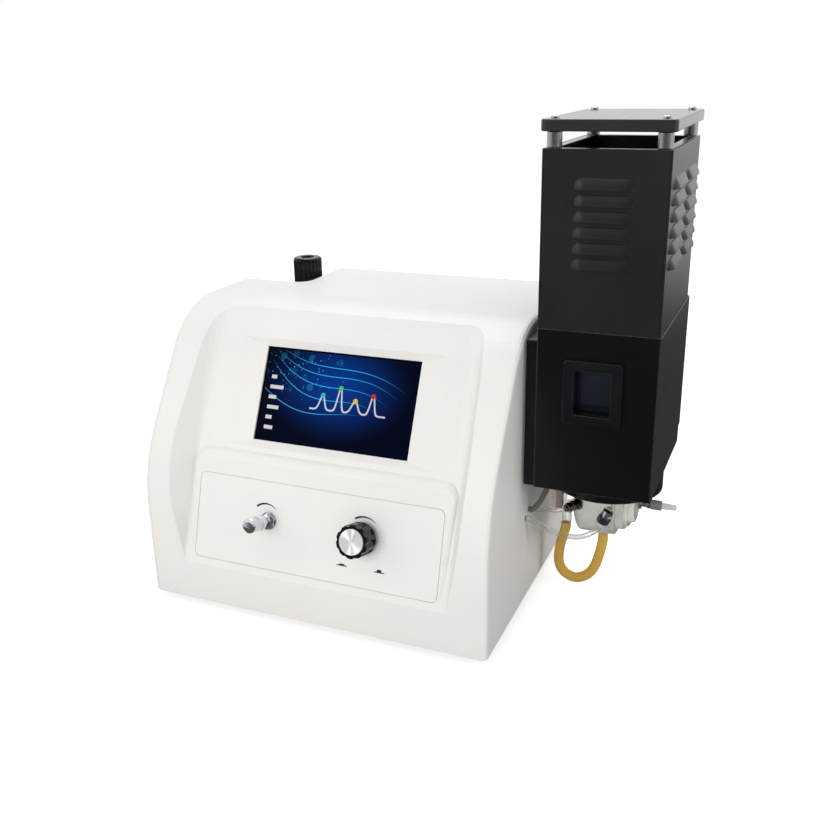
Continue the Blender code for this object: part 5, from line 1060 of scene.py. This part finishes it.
for centre, tall, wide, colour in PEAKS:
    paint = laid_on(paint, fades(far_from(centre, BASE_LINE + tall + 0.3), 2.1, 2.5), colour)
for row, long in enumerate((9.0, 6.5, 12.0, 8.0, 14.0, 5.5)):
    low = BAR_FOOT + row * BAR_PITCH
    bar_mask = product(within(height, low, low + BAR_TALL),
                       within(across, BAR_LEFT, BAR_LEFT + long))
    paint = laid_on(paint, bar_mask, PALE)
frame_mask = product(within(across, -75.6, 77.8), within(height, -44.0, 42.6))
link(picture_tree, laid_on(BLACK, frame_mask, paint), picture_out["Colour"])
print("effect:", picture_tree.name, len(picture_tree.nodes), "nodes")

# %% [markdown]
# The picture shines from a thin pane that lies on the display's own glass. Its place is measured
# on the solid: the front plane of the display is found along the screen's slope, and the pane
# is centred on it. Faint smears from fingers vary how sharply the pane mirrors.

# %% Screen picture
picture, picture_glass = start_finish("screen_picture", (0.001, 0.001, 0.002), 0.10,
                                      Specular_IOR_Level=0.04, Emission_Strength=1.0)
link(picture, use_effect(picture, picture_tree, Place=own_place(picture))["Colour"],
     picture_glass.inputs["Emission Color"])
smear = use_effect(picture, drift_tree, Scale=25.0)["Shade"]
link(picture, calc(picture, "MULTIPLY_ADD", smear, 0.05, 0.08), picture_glass.inputs["Roughness"])
SCREEN_TILT = math.radians(26.0)
SCREEN_HALF, PICTURE_BACK, PICTURE_FRONT = (78.6, 44.9), 0.02, 0.14
screen_out = Vector((0.0, -math.cos(SCREEN_TILT), math.sin(SCREEN_TILT)))
screen_up = Vector((0.0, math.sin(SCREEN_TILT), math.cos(SCREEN_TILT)))
points = [vert.co for vert in nodes["display_module"].data.vertices]
front = max(point.dot(screen_out) for point in points)
face = [point for point in points if point.dot(screen_out) > front - 0.05 * MM]
middle = [(min(values) + max(values)) / 2
          for values in ([p.x for p in face], [p.dot(screen_up) for p in face])]
screen_place = (Matrix.Translation(Vector((middle[0], 0.0, 0.0)) + screen_up * middle[1]
                                   + screen_out * front)
                @ Matrix.Rotation(math.pi / 2 - SCREEN_TILT, 4, "X"))
piece("screen_picture", box_mesh((-SCREEN_HALF[0], -SCREEN_HALF[1], PICTURE_BACK),
                                 (*SCREEN_HALF, PICTURE_FRONT)),
      "screen_glass", screen_place, finish="screen_picture")
print("screen middle:", [round(v, 4) for v in screen_place.translation])

# %% [markdown]
# A mist of the sample is made in a frosted spray chamber under the tower. Its shell is one
# profile turned round a level axis, closed on the left, with a collar on the right that holds
# the end cap. The wall is really hollow, so the frosted plastic lets light through as it
# should. The nebulizer, its grey sleeve and the pale tip follow on the same axis.

# %% Spray chamber and nebulizer
CHAMBER_X, CHAMBER_Y, CHAMBER_Z, CHAMBER_R = 373.0, 170.0, 89.0, 33.0
HOLLOW_R, DOME_DEEP, HOLLOW_DEEP, DOME_WALL = 30.5, 9.9, 7.4, 2.5
BURNER_X, DRAIN_X = 402.0, 400.5


def on_axis(x):
    """A frame on the spray chamber's axis, Z to the right."""
    return pointing((1.0, 0.0, 0.0), bench(x, CHAMBER_Y, CHAMBER_Z))


dome = [(CHAMBER_R * math.sin(turn), DOME_DEEP * (1.0 - math.cos(turn))) for turn in quarter(12)]
belly = [(33.0, 20.0), (33.0, 39.6), (32.7, 40.5), (32.0, 41.0), (27.6, 41.0), (27.1, 41.4),
         (27.0, 42.0), (27.0, 48.4), (26.6, 49.0), (20.0, 49.0), (20.0, 41.0), (30.5, 38.5)]
hollow = [(radius * HOLLOW_R / CHAMBER_R, DOME_WALL + along * HOLLOW_DEEP / DOME_DEEP)
          for radius, along in dome[::-1]]
chamber = piece("spray_chamber_shell", turned(dome + belly + hollow, 96), "frosted_plastic",
                on_axis(CHAMBER_X), stands_for="spray_chamber")
for radius, low, high, x, operation in (
        (4.5, 52.0, 60.0, DRAIN_X, "UNION"),             # the drain's spigot
        (3.2, 50.0, 64.0, DRAIN_X, "DIFFERENCE"),        # its bore
        (8.3, CHAMBER_Z, CHAMBER_Z + 60.0, BURNER_X, "DIFFERENCE")):
    upright = bar(radius, low, high, 48)
    upright.transform(chamber.matrix_world.inverted()
                      @ Matrix.Translation(bench(x, CHAMBER_Y, 0.0)))
    carve(chamber, upright, operation)
cap_rounded = [(0.0, 0.0), (23.1, 0.0), (23.5, 0.4), (23.5, 2.9), (23.1, 3.4), (20.4, 3.4),
               (20.0, 3.9), (18.7, 7.9), (18.0, 8.5), (9.0, 8.5), (8.6, 7.7), (0.0, 7.7)]
piece("end_cap_turned", turned(cap_rounded, 96), "frosted_plastic", on_axis(422.3),
      stands_for="chamber_end_cap")
neb = [(0.0, 0.0), (5.4, 0.0), (5.67, 0.3), (5.67, 3.3), (5.4, 3.6), (3.6, 3.8), (3.36, 4.1),
       (3.36, 8.3), (3.6, 8.6), (4.0, 8.7), (4.2, 9.0), (4.2, 11.7), (4.0, 12.0), (0.0, 12.0)]
piece("nebulizer_turned", turned(neb, 48), "chrome", on_axis(431.1), stands_for="nebulizer_body")
GRIP_RIBS, GRIP_DEEP = 18, 0.12


def gripped(radius, height, turn):
    """Fine lengthwise ribs on a push-on sleeve."""
    inside = radius > 4.5 and 1.2 < height < 8.4
    return radius - GRIP_DEEP * (1.0 - math.cos(turn * GRIP_RIBS)) if inside else radius


sleeve = [(0.0, 0.0), (4.3, 0.0), *[(4.6, height) for height in (0.3, 1.1, 1.3, 8.3, 8.5, 9.1)],
          (4.3, 9.5), (0.0, 9.5)]
piece("nebulizer_sleeve_ribbed", turned(sleeve, 144, gripped), "grey_sleeve", on_axis(443.4),
      stands_for="nebulizer_sleeve")
tip = [(0.6, 0.0), (3.0, 0.0), (3.0, 0.5), (2.95, 3.0), (2.6, 12.4), (2.4, 12.9), (2.0, 13.0),
       (0.6, 13.0)]
piece("sample_tip_tapered", turned(tip, 48, closed=True), "pale_tip", on_axis(453.2),
      stands_for="sample_tip")
print("chamber faces:", len(chamber.data.polygons))

# %% [markdown]
# Hoses are tubes with a real bore. A smooth curve runs through a few chosen points, and a ring
# is carried along it without twisting, once for the outside and once for the bore. Clear hoses
# need the bore: light bends in at one wall and out at the next, which darkens their edges; their
# finish adds painted shade on the rims as well.

# %% Hoses
def curve_through(points, steps):
    """A Catmull-Rom curve through places given as bench millimetres."""
    knots = [bench(*point) for point in points]
    knots = [knots[0] * 2 - knots[1], *knots, knots[-1] * 2 - knots[-2]]
    path = []
    for a, b, c, d in zip(knots, knots[1:], knots[2:], knots[3:]):
        for t in [step / steps for step in range(steps)]:
            path.append((b * 2 + (c - a) * t + (a * 2 - b * 5 + c * 4 - d) * t * t
                         + (b * 3 - a - c * 3 + d) * t ** 3) / 2)
    return path + [knots[-2]]


def hose(name, points, radius, bore, slot, stands_for, steps=12, ring_steps=36):
    """A tube along a curve, with a bore and open ends."""
    path = curve_through(points, steps)
    turns = [math.tau * step / ring_steps for step in range(ring_steps)]
    outer, inner, side = [], [], None
    for i, place in enumerate(path):
        ahead = (path[min(i + 1, len(path) - 1)] - path[max(i - 1, 0)]).normalized()
        side = side or ahead.orthogonal()
        side = (side - ahead * ahead.dot(side)).normalized()
        over = ahead.cross(side)
        for reach, rings in ((radius, outer), (bore, inner)):
            rings.append([place + (side * math.cos(turn) + over * math.sin(turn)) * reach * MM
                          for turn in turns])
    piece(name, hooped(outer + inner[::-1]), slot, stands_for=stands_for)


AIR_ROUTE = [(372.8, 129.1, 91.0), (370.6, 127.4, 90.4), (362.99, 126.6, 88.6), (355.05, 130, 87),
             (346.06, 130, 85), (338, 130, 85)]
GAS_ROUTE = [(405.1, 129, 80.2), (403.9, 129, 77.6), (402.1, 129, 74.6), (394.6, 127.56, 69.2),
             (385.16, 124.5, 66.46), (371.96, 120, 68.96), (358.12, 114.96, 74.98),
             (349, 111.81, 81.49), (343.97, 111, 84), (341.14, 111, 84), (338, 111, 84)]
LEAD_ROUTE = [(338, 121, 89), (341.01, 121, 89), (343.99, 121, 89), (350.01, 125, 97.01),
              (354.51, 132, 109), (356, 135, 118.01), (356, 135, 124.9)]
DRAIN_ROUTE = [(364, 170, 57), (364, 170, 51.99), (361.81, 170, 42.97), (359, 170, 30),
               (358.31, 170, 14.98), (363.01, 170, 3.98), (374.51, 170, -1.2), (386.01, 170, 3.51),
               (393.49, 170, 13.99), (398.02, 170, 30), (400.32, 170, 42.97), (400.5, 170, 46.95),
               (400.5, 170, 51.7)]
BEND, MOUTH_Z = 7.5, 77.45
ELBOW_ROUTE = ([(364.0, 170.0, 57.3), (364.0, 170.0, 63.0)]
               + [(371.5 - BEND * math.cos(turn), 170.0, MOUTH_Z - BEND * (1.0 - math.sin(turn)))
                  for turn in quarter(4)] + [(372.7, 170.0, MOUTH_Z)])
hose("air_hose", AIR_ROUTE, 2.0, 1.25, "clear_tube", "air_tube")
hose("gas_hose", GAS_ROUTE, 2.5, 1.6, "clear_tube", "gas_tube")
hose("igniter_sleeve", LEAD_ROUTE, 2.5, 1.7, "grey_sleeve", "igniter_lead_sleeve")
hose("drain_loop", DRAIN_ROUTE, 4.75, 3.0, "latex_tube", "drain_tube")
hose("drain_elbow_hollow", ELBOW_ROUTE, 5.22, 3.6, "clear_tube", "drain_elbow", 4, 40)
print("hoses: 5")

# %% [markdown]
# Push-in unions join the hoses to the chamber. The air union is one turned barrel with a nut
# behind it; the gas union is a hexagon with a pale release ring at the hose's end and a bright
# cap at the other. A short stub carries each one, and a hexagon pillar of brass stands beside
# them under the burner box.

# %% Unions
def stub(name, start, stop):
    """A short round pipe between two places in bench millimetres."""
    start, stop = bench(*start), bench(*stop)
    piece(name, bar(3.1, 0.0, (stop - start).length / MM, 32), "dark_fitting",
          pointing(stop - start, start))


AIR_HEAD, GAS_HEAD = Vector((372.2, 128.6, 90.8)), Vector((404.9, 129.0, 79.8))
AIR_WAY, GAS_WAY = Vector((0.72, 0.62, 0.22)), Vector((0.42, 0.0, 0.90))
air_place, gas_head_place = [pointing(way, bench(*head))
                             for head, way in ((AIR_HEAD, AIR_WAY), (GAS_HEAD, GAS_WAY))]
air_profile = [(2.2, 0.0), (3.0, 0.0), (3.4, 0.3), (3.4, 1.3), (2.9, 1.6), (2.9, 2.1), (4.0, 2.3),
               (4.5, 2.7), (4.7, 3.2), (4.7, 5.8), (4.5, 6.2), (3.9, 6.5), (3.9, 7.1), (4.6, 7.4),
               (4.9, 7.8), (4.9, 9.4), (4.7, 9.8), (3.8, 10.1), (3.8, 11.2), (2.2, 11.2)]
piece("air_union_barrel", turned(air_profile, 64, closed=True), "dark_fitting", air_place,
      stands_for="air_union")
nut("air_union_hexagon", 10.4, 2.2, 11.1, 15.2, "dark_fitting", air_place)
air_far = AIR_HEAD + AIR_WAY.normalized() * 15.0
stub("air_union_stub", air_far, air_far + Vector((0.0, 4.0, 0.0)))
ring_profile = [(2.7, 0.0), (3.6, 0.0), (4.2, 0.3), (4.4, 0.8), (4.4, 3.8), (2.7, 3.8)]
piece("gas_release_ring", turned(ring_profile, 48, closed=True), "grey_sleeve",
      gas_head_place, finish="release_ring")
nut("gas_union_hexagon", 10.2, 2.7, 3.9, 10.4, "dark_fitting", gas_head_place, "gas_union")
top_profile = [(2.7, 10.5), (4.4, 10.5), (4.0, 11.4), (4.9, 11.9), (5.2, 12.2), (5.2, 13.0),
               (4.8, 13.3), (4.8, 13.8), (5.2, 14.1), (5.2, 16.6), (4.9, 17.2), (4.2, 17.6),
               (0.0, 17.8)]
piece("gas_union_cap", turned(top_profile, 64), "dark_fitting", gas_head_place, finish="chrome")
knee = GAS_HEAD + GAS_WAY.normalized() * 14.4
stub("gas_union_stub", knee, (knee.x, 136.9, knee.z))
nut("floor_pillar_hexagon", 10.0, 0.0, 98.0, 124.9, "brass",
    Matrix.Translation(bench(367.5, 118.0, 0.0)), "floor_pillar")
print("unions: 2, pillar: 1")

# %% [markdown]
# The regulator's knob stands in the housing's rear left notch: a ribbed cap of glossy black
# plastic, a little dished on top, that is pulled up and turned to set the air pressure.

# %% Regulator knob
REG_RIBS, REG_DEEP, REG_LOW, REG_HIGH = 20, 0.7, 260.0, 284.2


def reg_grip(radius, height, turn):
    """Broad grip ribs between the knob's lower ring and its rounded top."""
    if radius < 14.0 or not REG_LOW < height < REG_HIGH:
        return radius
    wave = 0.5 + 0.5 * math.cos(turn * REG_RIBS)
    return radius - REG_DEEP * (1.0 - wave ** 0.6)


reg_profile = [(0.0, 258.0), (14.9, 258.0)]
reg_profile += [(15.2, height) for height in (258.3, 259.9, 260.2, 260.6, 270.0, 281.0)]
reg_profile += [(15.1, 282.6), (14.7, 283.7), (14.1, 284.5), (13.2, 285.0), (8.2, 285.0),
                (7.6, 284.8), (7.2, 284.2), (6.9, 283.5), (0.0, 283.5)]
piece("regulator_knob_ribbed", turned(reg_profile, 240, reg_grip), "knob_plastic",
      Matrix.Translation(bench(54.4, 243.0, 0.0)), "pressure_knob", "regulator_knob")
print("regulator knob: ribs", REG_RIBS)

# %% [markdown]
# The floor is plain and pale. To the camera, and through glass, it glows just enough to meet the
# white background, and the light that bounces off it is left as it is, so the object keeps its
# shadow. The world does the same: full white where it is seen, dimmer where it lights. A studio
# hangs black cloth where a shiny black surface would otherwise show the white room; here mirrors
# alone see a painted dark reflection instead: a dark patch on the floor in front, and a room that
# is dim on that side.

# %% Floor and background
FLOOR_REACH = 6.0
# The cloth here is a painted dark reflection: a dark patch on the floor that only mirrors see.
MIRROR_FLOOR = 0.4         # share of its glow that mirrors see beyond the cloth
PAPER, PAINTED_DARK = (0.62, 0.62, 0.62, 1.0), (0.10, 0.10, 0.10, 1.0)
PAINTED_DARK_MIDDLE, PAINTED_DARK_FULL, PAINTED_DARK_END, FLOOR_SHINE = (0.2, -1.5, 0.0), 2.50, 3.60, 0.70
floor_mesh = bpy.data.meshes.new("floor")
floor_mesh.from_pydata([(x * FLOOR_REACH, y * FLOOR_REACH, 0.0)
                        for x, y in ((-1, -1), (1, -1), (1, 1), (-1, 1))], [], [(0, 1, 2, 3)])
floor = bpy.data.objects.new("floor", floor_mesh)
bpy.context.scene.collection.objects.link(floor)


def seen_by(tree):
    """1 for rays from the camera and through glass, else 0; and 1 for mirrors, else 0."""
    path = add(tree, "ShaderNodeLightPath").outputs
    seen = calc(tree, "ADD", path["Is Camera Ray"], path["Is Transmission Ray"], clamp=True)
    return seen, path["Is Glossy Ray"]


floor_finish = bpy.data.materials.new("floor_paper")
floor_finish.use_nodes = True
paper = floor_finish.node_tree
sheet = paper.nodes["Principled BSDF"].inputs
floor_far = vector_calc(paper, "DISTANCE", own_place(paper), PAINTED_DARK_MIDDLE)
painted_dark_patch = ramp(paper, floor_far, PAINTED_DARK_END, PAINTED_DARK_FULL)
seen, in_mirror = seen_by(paper)
link(paper, blended(paper, calc(paper, "MULTIPLY", in_mirror, painted_dark_patch), PAPER, PAINTED_DARK),
     sheet["Base Color"])
sheet["Roughness"].default_value = 0.9
sheet["Specular IOR Level"].default_value = 0.0
sheet["Emission Color"].default_value = WHITE
bare = calc(paper, "MULTIPLY", in_mirror, calc(paper, "SUBTRACT", 1.0, painted_dark_patch))
glow = calc(paper, "MULTIPLY_ADD", bare, MIRROR_FLOOR, seen)
link(paper, calc(paper, "MULTIPLY", glow, FLOOR_SHINE), sheet["Emission Strength"])
floor_mesh.materials.append(floor_finish)

AMBIENT = 0.47
# Mirrors see the room dim towards the front: a painted dark reflection.
REFLECTION_DIM_WAY, REFLECTION_DIM_TO = Vector((0.30, -0.95, 0.05)).normalized(), 0.12     # where it is dim, and how dim
world = bpy.data.worlds.new("white_room")
world.use_nodes = True
room = world.node_tree
sky = room.nodes["Background"].inputs
sky["Color"].default_value = WHITE
direction = add(room, "ShaderNodeTexCoord").outputs["Generated"]
towards = vector_calc(room, "DOT_PRODUCT", direction, REFLECTION_DIM_WAY)
painted_dim_reflection = ramp(room, towards, 0.30, 0.85, 1.0, REFLECTION_DIM_TO)
seen, in_mirror = seen_by(room)
plain = calc(room, "MULTIPLY", calc(room, "MULTIPLY_ADD", seen, 1.0 - AMBIENT, AMBIENT),
             calc(room, "SUBTRACT", 1.0, in_mirror))
link(room, calc(room, "MULTIPLY_ADD", painted_dim_reflection, in_mirror, plain), sky["Strength"])
bpy.context.scene.world = world
print("room light:", AMBIENT)

# %% [markdown]
# One large soft lamp to the left of the camera lights the front and leaves the recess's left
# wall in half shade. A second hangs above and behind for the roof, and two small ones fill the
# recess and the housing's right side, which stays a warm grey. Mirrors don't see the lamps
# whose image would fall on the black sheet.

# %% Lamps
PLAIN_LIGHT, WARM_LIGHT = (1.0, 1.0, 1.0), (1.0, 0.985, 0.97)
LAMPS = (          # name, place, target, size, power, colour, seen by mirrors
    ("key", (-0.15, -1.6, 0.6), (0.05, -0.1, 0.15), 0.9, 14.6, WARM_LIGHT, False),
    ("left", (-1.3, -1.1, 1.3), (0.0, -0.1, 0.15), 0.5, 1.5, PLAIN_LIGHT, True),
    ("above", (-0.2, 0.9, 1.9), (0.0, 0.0, 0.1), 1.4, 22.0, PLAIN_LIGHT, True),
    ("side", (1.8, -0.1, 0.6), (0.2, 0.0, 0.15), 0.8, 10.5, WARM_LIGHT, False))
for name, place, target, size, power, colour, mirror in LAMPS:
    light = bpy.data.lights.new(name, "AREA")
    light.size, light.energy, light.color = size, power, colour
    lamp = bpy.data.objects.new(name, light)
    lamp.location = place
    lamp.rotation_euler = (Vector(target) - Vector(place)).to_track_quat("-Z", "Y").to_euler()
    lamp.visible_glossy = mirror
    bpy.context.scene.collection.objects.link(lamp)
print("lamps:", len(LAMPS))
